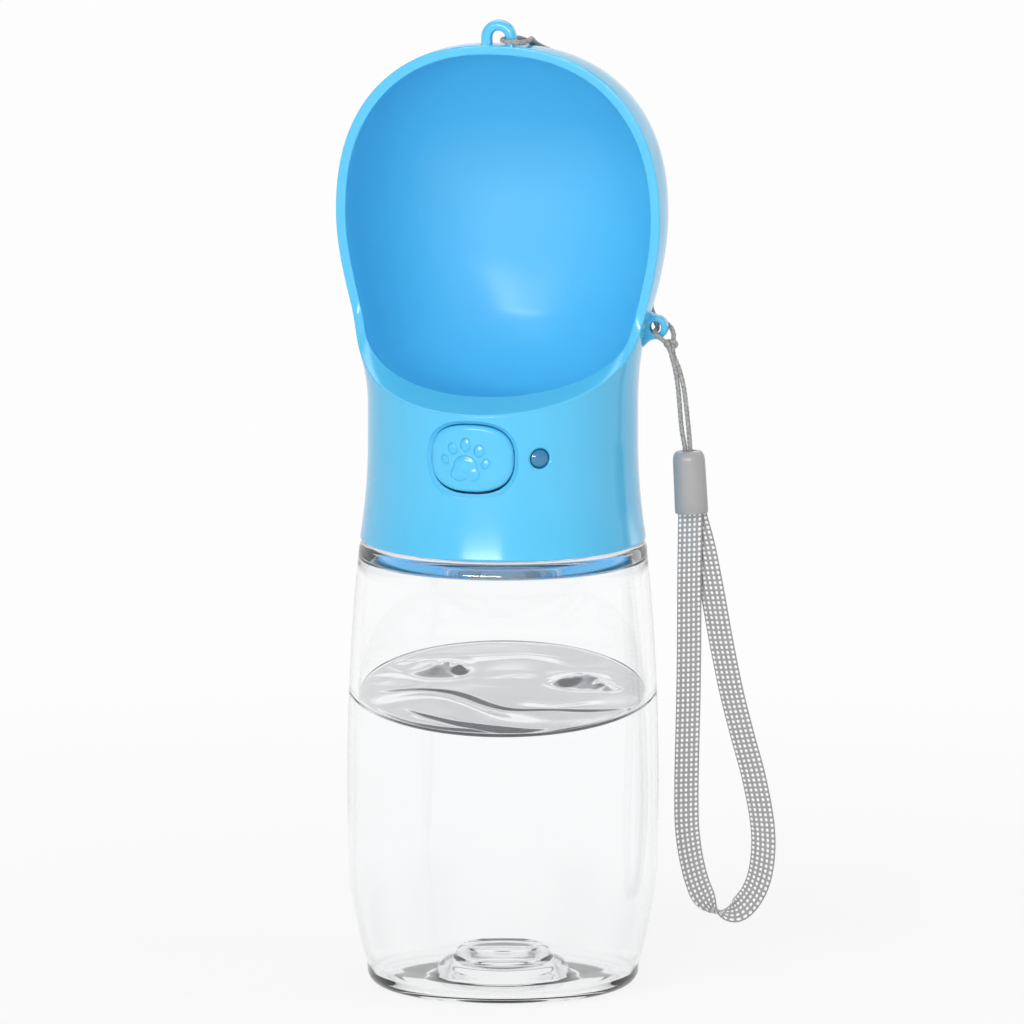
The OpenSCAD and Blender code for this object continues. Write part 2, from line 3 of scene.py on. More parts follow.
import bpy
import numpy as np
from mathutils import Matrix, Vector
from mathutils.geometry import delaunay_2d_cdt


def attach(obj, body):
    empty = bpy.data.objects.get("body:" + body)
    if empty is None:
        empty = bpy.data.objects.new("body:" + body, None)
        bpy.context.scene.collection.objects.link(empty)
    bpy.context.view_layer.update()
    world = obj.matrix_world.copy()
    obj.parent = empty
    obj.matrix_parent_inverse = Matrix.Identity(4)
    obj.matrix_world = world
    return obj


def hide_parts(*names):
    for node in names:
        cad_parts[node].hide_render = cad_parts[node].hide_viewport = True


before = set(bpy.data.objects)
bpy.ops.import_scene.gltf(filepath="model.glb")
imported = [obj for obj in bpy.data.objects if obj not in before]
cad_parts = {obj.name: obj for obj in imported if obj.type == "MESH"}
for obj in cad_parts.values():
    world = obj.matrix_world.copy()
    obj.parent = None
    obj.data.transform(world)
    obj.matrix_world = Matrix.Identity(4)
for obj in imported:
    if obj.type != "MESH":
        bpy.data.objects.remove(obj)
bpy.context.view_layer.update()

mm = 0.001


# the photograph's view
camera = {
    "azimuth": 14,  # degrees, towards +X
    "elevation": 10,
    "distance": 8,
    "across": 0.2432,  # metres that the frame covers at the bottle
    "aimRight": 2.14,  # mm from the bottle's axis to the frame's centre
    "aimHeight": 113.4,
}


def addToScene(name, data):
    thing = bpy.data.objects.new(name, data)
    bpy.context.scene.collection.objects.link(thing)
    return thing


def wayTo(azimuth, elevation):
    # the direction from the bottle to what stands at these angles, in degrees
    az, el = math.radians(azimuth), math.radians(elevation)
    return Vector((math.sin(az) * math.cos(el), -math.cos(az) * math.cos(el), math.sin(el)))


def makeCamera():
    az = math.radians(camera["azimuth"])
    right = Vector((math.cos(az), math.sin(az), 0))
    back = wayTo(camera["azimuth"], camera["elevation"])
    aim = right * camera["aimRight"] * mm + Vector((0, 0, camera["aimHeight"] * mm))
    data = bpy.data.cameras.new("camera")
    data.sensor_width = 36
    data.lens = 36 * camera["distance"] / camera["across"]
    data.clip_end = 50
    eye = addToScene("camera", data)
    eye.location = aim + back * camera["distance"]
    eye.rotation_euler = back.to_track_quat("Z", "Y").to_euler()
    bpy.context.scene.camera = eye
    bpy.context.scene.view_settings.view_transform = "Standard"


makeCamera()
print("camera placed")


class Nodes:
    # short calls for the nodes that the finishes and the studio share
    def __init__(self, tree):
        self.tree = tree

    def add(self, kind, **values):
        node = self.tree.nodes.new("ShaderNode" + kind)
        for key, value in values.items():
            if key in node.inputs:
                node.inputs[key].default_value = value
            else:
                setattr(node, key, value)
        return node

    def link(self, a, b):
        self.tree.links.new(a, b)

    def maths(self, operation, a, b=None):
        node = self.add("Math", operation=operation)
        for socket, value in zip(node.inputs, (a, b)):
            if isinstance(value, (int, float)):
                socket.default_value = value
            elif value is not None:
                self.link(value, socket)
        return node.outputs["Value"]

    def vector(self, operation, a, b=(0, 0, 0)):
        node = self.add("VectorMath", operation=operation)
        self.link(a, node.inputs[0])
        node.inputs[1].default_value = b
        return node.outputs["Vector" if operation == "MULTIPLY" else "Value"]

    def split(self, vector):
        node = self.add("SeparateXYZ")
        self.link(vector, node.inputs["Vector"])
        return node.outputs

    def spread(self, value, low, high, start=0, end=1):
        # what runs from start to end is brought to low to high
        node = self.add("MapRange")
        for name, number in zip(("From Min", "From Max", "To Min", "To Max"), (start, end, low, high)):
            node.inputs[name].default_value = number
        self.link(value, node.inputs["Value"])
        return node.outputs["Result"]

    def ramp(self, value, stops):
        node = self.add("ValToRGB")
        elements = node.color_ramp.elements
        while len(elements) < len(stops):
            elements.new(0.5)
        for element, (place, colour) in zip(elements, stops):
            element.position = place
            element.color = (*colour, 1)
        self.link(value, node.inputs["Fac"])
        return node.outputs["Color"]

    def mix(self, share, first, second):
        node = self.add("MixShader")
        for socket, source in zip(node.inputs, (share, first, second)):
            self.link(source, socket)
        return node.outputs[0]


class Finish(Nodes):
    # a Principled material
    def __init__(self, name, sockets):
        self.material = bpy.data.materials.new(name)
        self.material.use_nodes = True
        super().__init__(self.material.node_tree)
        self.shader = self.tree.nodes["Principled BSDF"]
        for socket, value in sockets.items():
            self.shader.inputs[socket].default_value = value

    def noise(self, scale, detail=3, stretch=(1, 1, 1)):
        mapping = self.add("Mapping", Scale=stretch)
        self.link(self.add("TexCoord").outputs["Object"], mapping.inputs["Vector"])
        node = self.add("TexNoise", Scale=scale, Detail=detail)
        self.link(mapping.outputs["Vector"], node.inputs["Vector"])
        return node.outputs["Fac"]

    def mottled(self, one, two, scale, stretch=(1, 1, 1)):
        value = self.noise(scale, 4, stretch)
        self.link(self.ramp(value, [(0.3, one), (0.7, two)]), self.shader.inputs["Base Color"])

    def worn(self, low, high, scale):
        self.link(self.spread(self.noise(scale, 5), low, high), self.shader.inputs["Roughness"])

    def bumpy(self, height, strength, distance):
        node = self.add("Bump", Strength=strength, Distance=distance)
        self.link(height, node.inputs["Height"])
        self.link(node.outputs["Normal"], self.shader.inputs["Normal"])


def plain(name, sockets, tones, rough, bump, stretch=(1, 1, 1), bumpStretch=(1, 1, 1)):
    # tones: two colours and their scale; rough: least, most, scale; bump: scale, strength, depth
    f = Finish(name, sockets)
    f.mottled(*tones, stretch)
    f.worn(*rough)
    f.bumpy(f.noise(bump[0], 2, bumpStretch), *bump[1:])
    return f


# painted glow: the collar's inside emits blue, standing in for the light that comes through the thin
# plastic and fills it; places in metres
collarPaintedGlow = {"startZ": 0.1215, "fullZ": 0.1195, "startR": 0.0316, "fullR": 0.0312, "strength": 0.8,
    "colour": (0.085, 0.38, 0.75, 1)}


def bluePlastic(name, smoothest, roughest):
    f = plain(name, {"IOR": 1.5}, ((0.090, 0.508, 0.815), (0.094, 0.516, 0.825), 30),
        (smoothest, roughest, 120), (900, 0.03, 0.0001))
    # painted glow: low inside the collar, near the axis, the plastic emits blue as painted light
    c = collarPaintedGlow
    spot = f.add("TexCoord").outputs["Object"]
    low = f.spread(f.split(spot)["Z"], 0, 1, c["startZ"], c["fullZ"])
    fromAxis = f.vector("LENGTH", f.vector("MULTIPLY", spot, (1, 1, 0)))
    inside = f.spread(fromAxis, 0, 1, c["startR"], c["fullR"])
    glow = f.maths("MULTIPLY", f.maths("MULTIPLY", low, inside), c["strength"])
    f.shader.inputs["Emission Color"].default_value = c["colour"]
    f.link(glow, f.shader.inputs["Emission Strength"])
    return f


def waterBody():
    # the photograph shows the base through the water without the bend that water gives
    f = Finish("water_body", {"IOR": 1.02, "Roughness": 0.0, "Transmission Weight": 1.0})
    f.mottled((0.992, 0.995, 0.997), (0.998, 1.0, 1.0), 20)
    return f


def waterSurface():
    # painted light and shade: grey where the surface lies level, paler and darker where it leans, standing
    # in for the glare and dark streaks on the waves
    f = Finish("water_surface", {"IOR": 1.333, "Roughness": 0.0, "Transmission Weight": 1.0})
    viewSide = (0.36, -0.93, 0.0)
    # painted highlights and painted shade, picked by how the surface faces the viewer
    leaning = f.vector("DOT_PRODUCT", f.add("NewGeometry").outputs["Normal"], viewSide)
    stops = [(0.0, (0.98, 0.98, 0.985)), (0.30, (0.97, 0.97, 0.975)), (0.335, (0.60, 0.60, 0.62)),
        (0.375, (0.43, 0.43, 0.445)), (0.43, (0.41, 0.41, 0.425)), (0.50, (0.52, 0.52, 0.54)),
        (0.57, (0.85, 0.85, 0.86)), (0.64, (0.22, 0.22, 0.235)), (0.78, (0.015, 0.016, 0.018))]
    f.link(f.ramp(f.spread(leaning, 0, 1, -0.2, 0.7), stops), f.shader.inputs["Base Color"])
    return f


def stringFinish():
    # twisted strands: a fine lay on top of the modelled one
    f = Finish("grey_string", {"Sheen Weight": 0.25, "Sheen Roughness": 0.4})
    f.mottled((0.18, 0.175, 0.17), (0.46, 0.45, 0.44), 2600)
    f.worn(0.55, 0.75, 900)
    f.bumpy(f.noise(5200, 3), 0.5, 0.00012)
    return f


def braidFinish():
    # white yarn shows as dots in a grey mesh: five columns across the tape, with painted shade in a darker
    # ring round each dot
    f = Finish("braided_tape", {"Sheen Weight": 0.2, "Sheen Roughness": 0.5})
    uv = f.split(f.add("UVMap").outputs["UV"])
    u, v = uv["X"], uv["Y"]

    def offCentre(value, size):
        return f.maths("DIVIDE", f.maths("SUBTRACT", f.maths("FRACT", value), 0.5), size)

    du = offCentre(u, 0.30)
    dv = offCentre(f.maths("ADD", v, f.maths("MULTIPLY", u, strap["slant"])), 0.36)
    square = f.maths("ADD", f.maths("MULTIPLY", du, du), f.maths("MULTIPLY", dv, dv))
    away = f.maths("SQRT", square)
    fuzz = f.maths("MULTIPLY", f.noise(1800, 3), 0.5)
    edge = f.maths("ADD", away, f.maths("SUBTRACT", fuzz, 0.25))
    # the darkest stop, just outside each dot, is painted shade between the yarns; the grey beyond is the
    # mesh's own colour
    stops = [(0.0, (0.94, 0.94, 0.94)), (0.45, (0.90, 0.90, 0.90)), (0.66, (0.38, 0.375, 0.375)),
        (0.82, (0.25, 0.245, 0.245)), (1.0, (0.32, 0.315, 0.32))]
    f.link(f.ramp(f.maths("MULTIPLY", edge, 0.62), stops), f.shader.inputs["Base Color"])
    f.worn(0.6, 0.8, 900)
    yarn = f.maths("SUBTRACT", 1.0, f.maths("MINIMUM", f.maths("MULTIPLY", away, away), 1.0))
    f.bumpy(f.maths("ADD", yarn, f.maths("MULTIPLY", f.noise(4200, 3), 0.4)), 0.6, 0.00025)
    return f


# the braid's finish and its mesh both read these
strap = {
    "width": 6.0,
    "thick": 1.15,
    "columns": 5,  # columns of white yarn across the tape
    "pitch": 1.21,  # mm from dot to dot along it
    "slant": 0.13,  # how far the rows of dots rise from column to column, as a share of the pitch
    "relief": 0.07,
    "step": 0.24,
    "lanes": 26,
    "twistAt": (52.6, 3.8, 17.9),  # where the tape turns over
    "twistRun": 15,  # mm over which it turns
}
finishes = {
    "blue_plastic": bluePlastic("blue_plastic", 0.15, 0.18),
    "scoop_plastic": bluePlastic("scoop_plastic", 0.33, 0.37),
    "clear_bottle": plain("clear_plastic", {"IOR": 1.5, "Transmission Weight": 1.0},
        ((0.985, 0.992, 0.995), (0.995, 0.998, 1.0), 12), (0.0, 0.025, 40), (26, 0.05, 0.0006),
        bumpStretch=(1, 1, 0.25)),
    "white_plastic": plain("white_plastic", {"IOR": 1.49},
        ((0.80, 0.81, 0.82), (0.88, 0.885, 0.89), 60), (0.32, 0.45, 220), (1300, 0.08, 0.0001)),
    "spring_steel": plain("spring_steel", {"Metallic": 1.0},
        ((0.55, 0.56, 0.58), (0.68, 0.69, 0.70), 400), (0.18, 0.34, 500), (2500, 0.12, 0.00006),
        (1, 1, 6), (1, 1, 9)),
    "silicone": plain("silicone", {"IOR": 1.41, "Subsurface Weight": 0.25, "Subsurface Scale": 0.002},
        ((0.68, 0.72, 0.75), (0.78, 0.81, 0.83), 90), (0.45, 0.62, 300), (2200, 0.15, 0.00008)),
    "lens": plain("lens", {"IOR": 1.49, "Coat Weight": 1.0, "Coat Roughness": 0.03},
        ((0.01, 0.16, 0.32), (0.02, 0.21, 0.40), 300), (0.08, 0.14, 500), (900, 0.04, 0.00005)),
    "grey_string": stringFinish(),
    "grey_plastic": plain("grey_plastic", {"IOR": 1.5},
        ((0.335, 0.33, 0.332), (0.36, 0.355, 0.357), 120), (0.24, 0.33, 300), (1600, 0.05, 0.00008)),
    "braided_tape": braidFinish(),
    "water": waterSurface(),
    "water_body": waterBody(),
}


# meshes are made in millimetres
def addPiece(name, points, faces, slot, body, node=None, normals=None):
    mesh = bpy.data.meshes.new(name)
    mesh.from_pydata((np.asarray(points, float) * mm).tolist(), [], [list(f) for f in faces])
    mesh.validate()
    mesh.update()
    mesh.polygons.foreach_set("use_smooth", [True] * len(mesh.polygons))
    mesh.materials.append(finishes[slot].material)
    piece = addToScene(name, mesh)
    if normals is not None:
        mesh.normals_split_custom_set_from_vertices(normals)
    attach(piece, body)
    if node:
        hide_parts(node)
    return piece


def secondFinish(piece, slot, faces):
    piece.data.materials.append(finishes[slot].material)
    which = np.zeros(len(piece.data.polygons), int)
    which[faces] = 1
    piece.data.polygons.foreach_set("material_index", which)


def bandFaces(rows, flip=False):
    # quads between closed rows of point numbers
    faces = []
    for a, b in zip(rows[:-1], rows[1:]):
        count = len(a)
        for i in range(count):
            j = (i + 1) % count
            quad = [a[i], a[j], b[j], b[i]]
            faces.append(quad[::-1] if flip else quad)
    return faces


def tubeFaces(rows, flip=False):
    # the same, with both ends shut
    ends = [rows[0], rows[-1][::-1]] if flip else [rows[0][::-1], rows[-1]]
    return bandFaces(rows, flip=flip) + ends


def circle(sides):
    return np.arange(sides) * 2 * math.pi / sides


class Net:
    # points and faces of one mesh while it is built up from several surfaces
    def __init__(self):
        self.points = []
        self.faces = []
        self.given = {}  # exact normals of some points

    def put(self, points, normals=None):
        start = len(self.points)
        self.points.extend(np.asarray(points, float).tolist())
        found = list(range(start, len(self.points)))
        if normals is not None:
            self.given.update(zip(found, np.asarray(normals, float).tolist()))
        return found

    def ring(self, r, z, turn):
        return self.put([(r * math.cos(a), r * math.sin(a), z) for a in turn])

    def lathe(self, profile, sides, flip=False):
        turn = circle(sides)
        rows = [self.ring(r, z, turn) if r > 1e-6 else self.put([(0, 0, z)]) for r, z in profile]
        for a, b in zip(rows[:-1], rows[1:]):
            for i in range(sides):
                j = (i + 1) % sides
                corners = [a[i % len(a)], a[j % len(a)], b[j % len(b)], b[i % len(b)]]
                corners = list(dict.fromkeys(corners))  # three at the axis
                self.faces.append(corners[::-1] if flip else corners)
        return rows

    def piece(self, name, slot, body, node=None):
        if not self.given:
            return addPiece(name, self.points, self.faces, slot, body, node)
        probe = bpy.data.meshes.new("probe")
        probe.from_pydata(self.points, [], self.faces)
        probe.update()
        normals = np.array([v.normal for v in probe.vertices])
        bpy.data.meshes.remove(probe)
        for i, n in self.given.items():
            if normals[i] @ np.array(n) > 0.3:
                normals[i] = n
        return addPiece(name, self.points, self.faces, slot, body, node, normals.tolist())


def rounded(p0, corner, p1, steps):
    # points from p0 to p1 that round the corner off
    t = np.linspace(0, 1, steps + 1).reshape(-1, *([1] * np.ndim(p0)))
    return (1 - t) ** 2 * p0 + 2 * t * (1 - t) * corner + t ** 2 * p1


def softProfile(points, radius, steps=5):
    # a lathe profile with each inner corner rounded by about radius
    points = np.array(points, float)
    out = [points[0]]
    for a, b, c in zip(points[:-2], points[1:-1], points[2:]):
        toA = (a - b) / np.linalg.norm(a - b)
        toC = (c - b) / np.linalg.norm(c - b)
        reach = min(radius, np.linalg.norm(a - b) * 0.48, np.linalg.norm(c - b) * 0.48)
        out.extend(rounded(b + toA * reach, b, b + toC * reach, steps))
    out.append(points[-1])
    return np.array(out)


def smoothRoute(route, steps):
    # a curve through the route's points, steps to each span
    p = np.array(route, float)
    out = []
    for i in range(len(p) - 1):
        a, b, c, d = p[max(i - 1, 0)], p[i], p[i + 1], p[min(i + 2, len(p) - 1)]
        for u in np.arange(steps) / steps:
            out.append(b + 0.5 * u * ((c - a) + u * ((2 * a - 5 * b + 4 * c - d)
                + u * (3 * (b - c) + d - a))))
    out.append(p[-1])
    return np.array(out)


def runAlong(path):
    return np.concatenate([[0], np.cumsum(np.linalg.norm(np.diff(path, axis=0), axis=1))])


def evenRoute(path, step):
    lengths = runAlong(path)
    marks = np.linspace(0, lengths[-1], max(2, round(lengths[-1] / step)) + 1)
    return np.stack([np.interp(marks, lengths, path[:, k]) for k in range(3)], 1), lengths[-1]


def unitRows(v):
    return v / np.linalg.norm(v, axis=-1, keepdims=True)


def smoothStep(u):
    u = np.clip(u, 0, 1)
    return u * u * (3 - 2 * u)


def signedPow(v, p):
    return np.sign(v) * np.abs(v) ** p


def carriedAcross(path, first):
    # a direction across the path that turns as little as possible on the way
    along = unitRows(np.gradient(path, axis=0))
    across = [np.array(first, float)]
    for t in along:
        w = across[-1] - t * (across[-1] @ t)
        across.append(w / np.linalg.norm(w))
    return along, np.array(across[1:])


strings = {
    "diameter": 1.2,
    "plies": 3,
    "lay": 3.4,  # mm for one turn of the twist
    "step": 0.3,
}
backRoute = [[36.7, 3.05, 158.3], [36.5, 5.2, 158.4], [35.5, 8.4, 158.8], [33.9, 12, 159.6],
    [32.4, 15.6, 161.6], [32.3, 18.6, 165.5], [32.6, 20.1, 169.5], [33.4, 20.6, 176],
    [33.2, 21.8, 186], [31.2, 22.8, 196], [27.1, 23.5, 204], [21.8, 21.8, 212], [16.1, 18.5, 218],
    [11.4, 15.9, 221], [7.0, 12.9, 223.3], [5.4, 10, 225], [5.6, 6, 226.5], [6.1, 2.4, 227],
    [6.5, -1.2, 227.1], [5.5, -4.7, 227.4], [3.3, -6.1, 227.6], [1.4, -5.6, 227.7],
    [0.9, -3.8, 227.7], [1, -1.8, 227.6], [1.9, 1, 227.3], [2.9, 4.2, 226.9], [3.5, 7.4, 226],
    [4.2, 10.8, 224.8], [5.8, 13.8, 223.3]]
besideRoute = [[x - 0.85, y + 0.95, z] for x, y, z in backRoute[13:4:-1]]
backEnd = [[32.0, 16, 163], [33.7, 12, 161], [35.4, 8.4, 160.1], [36.4, 5.2, 159.8],
    [36.7, 3.05, 159.7]]
leftRoute = [[36.7, 3, 158.3], [36.8, 0.9, 158.2], [37.6, -0.4, 157.6], [38.9, -0.3, 156.6],
    [40, 0.6, 155.6], [40.5, 1.3, 154], [40.8, 1.5, 152.6], [41.6, 2, 149], [42.2, 2.6, 144],
    [42.9, 3, 135], [43.8, 3, 129.7], [44.1, 3, 123.6]]
rightRoute = [[36.7, 3, 159.7], [37, 5, 159.8], [38.4, 5.4, 159.6], [39.9, 4.9, 158.6],
    [40.8, 3.7, 157.1], [40.8, 2.7, 155.4], [40.9, 2.5, 153.6], [41.2, 2.4, 152.2], [42.5, 2.4, 149],
    [43.6, 2.8, 144], [44.6, 3, 135], [45, 3, 129.7], [45.4, 3, 123.6]]


def ropeMesh(path, radius, plies, lay, sides=15):
    # a twisted string: the section has one lobe for each ply and turns along the path
    along, across = carriedAcross(path, (0.13, 1, 0.31))
    other = np.cross(along, across)
    turn = circle(sides)
    points = []
    for p, w, h, s in zip(path, across, other, runAlong(path)):
        ripple = 0.5 + 0.5 * np.cos(plies * (turn - 2 * math.pi * s / lay))
        r = radius * (0.84 + 0.16 * ripple)
        points.extend(p + np.outer(r * np.cos(turn), w) + np.outer(r * np.sin(turn), h))
    rows = [list(range(i * sides, (i + 1) * sides)) for i in range(len(path))]
    return points, tubeFaces(rows)


def makeString(name, route, body):
    path, length = evenRoute(smoothRoute(route, 6), strings["step"])
    points, faces = ropeMesh(path, strings["diameter"] / 2, strings["plies"], strings["lay"])
    piece = addPiece(name + "_twisted", points, faces, "grey_string", body, name)
    print(name, "is", round(length, 1), "mm long")
    return piece, path, length


backString = makeString("back_string", backRoute + besideRoute + backEnd, "head")
leftString = makeString("left_string", leftRoute, "strap")
rightString = makeString("right_string", rightRoute, "strap")


knot = {"centre": (40.6, 1.8, 154.9), "size": 0.42, "string": 0.52, "squeeze": (1.1, 0.9, 1.15)}


def makeKnot():
    # an overhand knot pulled tight
    t = circle(90)
    loop = np.stack([np.sin(t) + 2 * np.sin(2 * t), 0.9 * np.sin(3 * t), np.cos(t) - 2 * np.cos(2 * t)], 1)
    loop = loop * knot["size"] * np.array(knot["squeeze"]) + np.array(knot["centre"])
    path = np.vstack([loop, loop[:3]])
    points, faces = ropeMesh(path, knot["string"], strings["plies"], strings["lay"], 12)
    return addPiece("string_knot_tied", points, faces, "grey_string", "strap", "string_knot")


knotPiece = makeKnot()


# the sleeve that joins strings and strap
bead = {
    "foot": (45.4, 3, 114.6),
    "lean": -3,  # degrees about Y
    "length": 15,
    "corners": [(4, 1.1), (1.7, 3), (-1.7, 3), (-4, 1.1), (-4, -1.1), (-1.7, -3), (1.7, -3), (4, -1.1)],
    "halfW": 4,
    "halfD": 3,
    "footRound": 0.35,
    "topRound": 2.3,
    "topInset": 1.25,  # how far the top's rounding goes in
    "taper": 0.04,  # narrower at the top by this share
    "slot": (3.5, 1.6, 4),  # half width, half depth and depth of the strap's slot
    "hole": (1.8, 0.8, 8),  # the same of the strings' hole
}


def beadSection():
    # soft corners by cutting them twice
    p = np.array(bead["corners"], float)
    for _ in range(4):
        q = np.roll(p, -1, axis=0)
        p = np.stack([0.78 * p + 0.22 * q, 0.22 * p + 0.78 * q], 1).reshape(-1, 2)
    return p


def makeBead():
    c = bead
    section = beadSection()
    turn = np.arctan2(section[:, 1] / c["halfD"], section[:, 0] / c["halfW"])
    net = Net()
    rows = []

    def outerRow(z, inset):
        share = 1 - c["taper"] * z / c["length"]
        scale = np.array([(half * share - inset) / half for half in (c["halfW"], c["halfD"])])
        rows.append(net.put([(*(p * scale), z) for p in section]))

    def ovalRow(z, halfW, halfD):
        rows.append(net.put(np.stack([halfW * signedPow(np.cos(turn), 0.6),
            halfD * signedPow(np.sin(turn), 0.6), z + 0 * turn], -1)))

    # from the bottom of the strap's slot, out and up, and down into the strings' hole
    halfW, halfD, deep = c["slot"]
    for z in (deep, deep * 0.5, 0.3):
        ovalRow(z, halfW, halfD)
    ovalRow(0.08, halfW + 0.08, halfD + 0.08)
    small = c["footRound"]
    for angle in np.radians(np.linspace(0, 90, 6)):
        outerRow(small * (1 - math.sin(angle)), small * (1 - math.cos(angle)) if angle else small)
    big = c["topRound"]
    topFrom = c["length"] - big
    for z in np.linspace(0.6, topFrom, 9):
        outerRow(z, 0)
    for angle in np.radians(np.linspace(0, 90, 9)[1:]):
        outerRow(topFrom + big * math.sin(angle), c["topInset"] * (1 - math.cos(angle)))
    halfW, halfD, deep = c["hole"]
    ovalRow(c["length"], halfW + 0.15, halfD + 0.15)
    ovalRow(c["length"] - 0.2, halfW, halfD)
    ovalRow(c["length"] - deep, halfW, halfD)
    net.faces = tubeFaces(rows)
    lean = Matrix.Rotation(math.radians(c["lean"]), 3, "Y")
    net.points = [list(lean @ Vector(p) + Vector(c["foot"])) for p in net.points]
    return net.piece("string_bead_moulded", "grey_plastic", "strap", "string_bead")


beadPiece = makeBead()
print("strings, knot and bead made")


strapRoute = [[45.3, 2.3, 118.2], [45.2, 2.3, 112], [45, 2.4, 98], [44.9, 2.6, 84],
    [44.7, 2.7, 70], [44.4, 2.8, 58], [44.2, 2.9, 47], [44.4, 3, 38], [45.7, 3.2, 29.5],
    [48, 3.5, 22.5], [51.6, 3.8, 18.5], [56.2, 4.2, 18.8], [60.2, 4.3, 23.4], [62.3, 4.2, 30],
    [62.6, 4.1, 39], [60.6, 4, 50.5], [57.6, 3.9, 61.5], [55, 3.9, 71.5], [52.6, 3.8, 83],
    [50.6, 3.7, 94], [48.2, 3.7, 106], [46, 3.7, 114.2], [45.5, 3.7, 118.2]]


def makeStrap():
    path, length = evenRoute(smoothRoute(strapRoute, 12), strap["step"])
    along = unitRows(np.gradient(path, axis=0))
    across = unitRows(np.cross(along, [0, 1, 0]))
    facing = np.cross(along, across)
    run = runAlong(path)
    turnAt = run[np.argmin(np.linalg.norm(path - np.array(strap["twistAt"]), axis=1))]
    twist = math.pi * smoothStep((run - turnAt) / strap["twistRun"] + 0.5)
    wide = across * np.cos(twist)[:, None] + facing * np.sin(twist)[:, None]
    thick = np.cross(along, wide)
    half, flat = strap["width"] / 2, strap["thick"] / 2
    s = np.linspace(-1, 1, strap["lanes"] + 1)
    section = [(half * v, 1) for v in s] + [(half * v, -1) for v in s[::-1]]
    points = []
    uvs = []
    for p, w, h, d in zip(path, wide, thick, run):
        row = d / strap["pitch"]
        for x, side in section:
            u = (x / strap["width"] + 0.5) * strap["columns"]
            cell = ((u % 1) - 0.5, ((row + strap["slant"] * u) % 1) - 0.5)
            yarn = max(0.0, 1 - (cell[0] / 0.42) ** 2 - (cell[1] / 0.46) ** 2)
            edge = math.sqrt(max(0.0, 1 - abs(x / half) ** 3.2))
            lift = flat * edge - strap["relief"] * (1 - yarn) * edge
            points.append(p + w * x * (1 - 0.012 * (1 - yarn)) + h * side * max(lift, 0.02))
            uvs.append((u, row))
    count = len(section)
    rows = [list(range(i * count, (i + 1) * count)) for i in range(len(path))]
    piece = addPiece("wrist_strap_braided", points, tubeFaces(rows, flip=True), "braided_tape", "strap",
        "wrist_strap")
    layer = piece.data.uv_layers.new(name="tape")
    numbers = np.empty(len(piece.data.loops), int)
    piece.data.loops.foreach_get("vertex_index", numbers)
    layer.data.foreach_set("uv", np.array(uvs)[numbers].ravel())
    print("strap is", round(length, 1), "mm long")


makeStrap()


# collar and scoop in one moulding
shell = {
    "collarR": 34.0, "collarZ": 107.3, "waistR": 32.1, "waistZ": 131.0,
    "turnZ": 140.0, "lipZ": 142.0, "wideZ": 185.0, "domeH": 41.5,
    "halfWidth": 39.6, "back": 34.0, "mouthY": -5.4, "lipRise": 21.0, "lipSweep": 0.43,
    "wall": 2.4, "bowlZ": 139.3, "bowlH": 18.0, "outletR": 4.5, "boreR": 29.6,
    "roofZ": 141.5, "hubZ": 137.1,
    "rimRound": 0.5,  # rounding along the scoop's rim
    "rimPoints": 230,  # from the rim's foot to its top
    "grain": 1.15,  # mm between the surface's points
}
button = {
    "halfW": 10.0, "halfH": 8.0, "power": 2.6, "z": 131.6, "gap": 0.4, "shift": (0.13, -0.11),
    "faceR": 32.05, "edge": 1.1, "flangeY": 27.2, "flangeT": 1.5,
    "dishW": 0.85, "dishMore": 0.5, "dishDepth": 0.95,
    "pawDepth": 0.55, "pawSoft": 0.24,
    "toes": [(-6.3, -0.4, 1.7, 2.3, 22), (-4.4, 2.3, 2.2, 2.8, 8), (-1.2, 3.3, 2.4, 3.3, -2),
        (2.1, 1.9, 2.4, 3.0, -14), (3.7, -1.2, 2.05, 2.4, -28)],
    "pads": [(-1.3, -1.7, 2.75, 2.4), (-2.95, -3.7, 1.85, 1.75), (0.35, -3.7, 1.85, 1.75)],
}
window = {"arc": 16.8, "radius": 2.5, "edge": 0.45, "depth": 0.32}


def sliceSizes(z):
    c = shell
    flare = (c["collarR"] - c["waistR"]) * np.clip((c["waistZ"] - z) / 23.7, 0, None) ** 2
    def widen(top):
        return smoothStep((z - c["turnZ"]) / (top - c["turnZ"]))
    front = c["waistR"] + flare
    back = front + (c["back"] - c["waistR"]) * widen(170)
    side = front + (c["halfWidth"] - c["waistR"]) * widen(c["wideZ"])
    middle = -6 * widen(165)
    power = 2 / (2 + 0.5 * smoothStep((z - 150) / 20))
    return front, back, side, middle, power


def domeShare(z, low, p):
    up = np.clip((z - shell["wideZ"]) / (shell["domeH"] - low), 0, 1)
    return (1 - up ** p) ** (1 / p)


def slicePoint(a, z, inset, low):
    front, back, side, middle, power = sliceSizes(z)
    s = np.sin(a)
    reach = np.where(s < 0, front + middle, back - middle)
    x = (side - inset) * domeShare(z, low, 2.3) * signedPow(np.cos(a), power)
    y = middle + (reach - inset) * domeShare(z, low, 2.2) * signedPow(s, power)
    return np.stack([x, y, z + 0 * x], -1)


def borePoint(a, z, inset, low):
    r = shell["boreR"] - inset
    return np.stack([r * np.cos(a), r * np.sin(a), z + 0 * a], -1)


def bowlInset(z):
    reach = shell["waistR"] - shell["wall"] - shell["outletR"] - 0.8
    up = np.clip(1 - (z - shell["bowlZ"]) / shell["bowlH"], 0, 1)
    return reach * (1 - np.sqrt(1 - up ** 2))


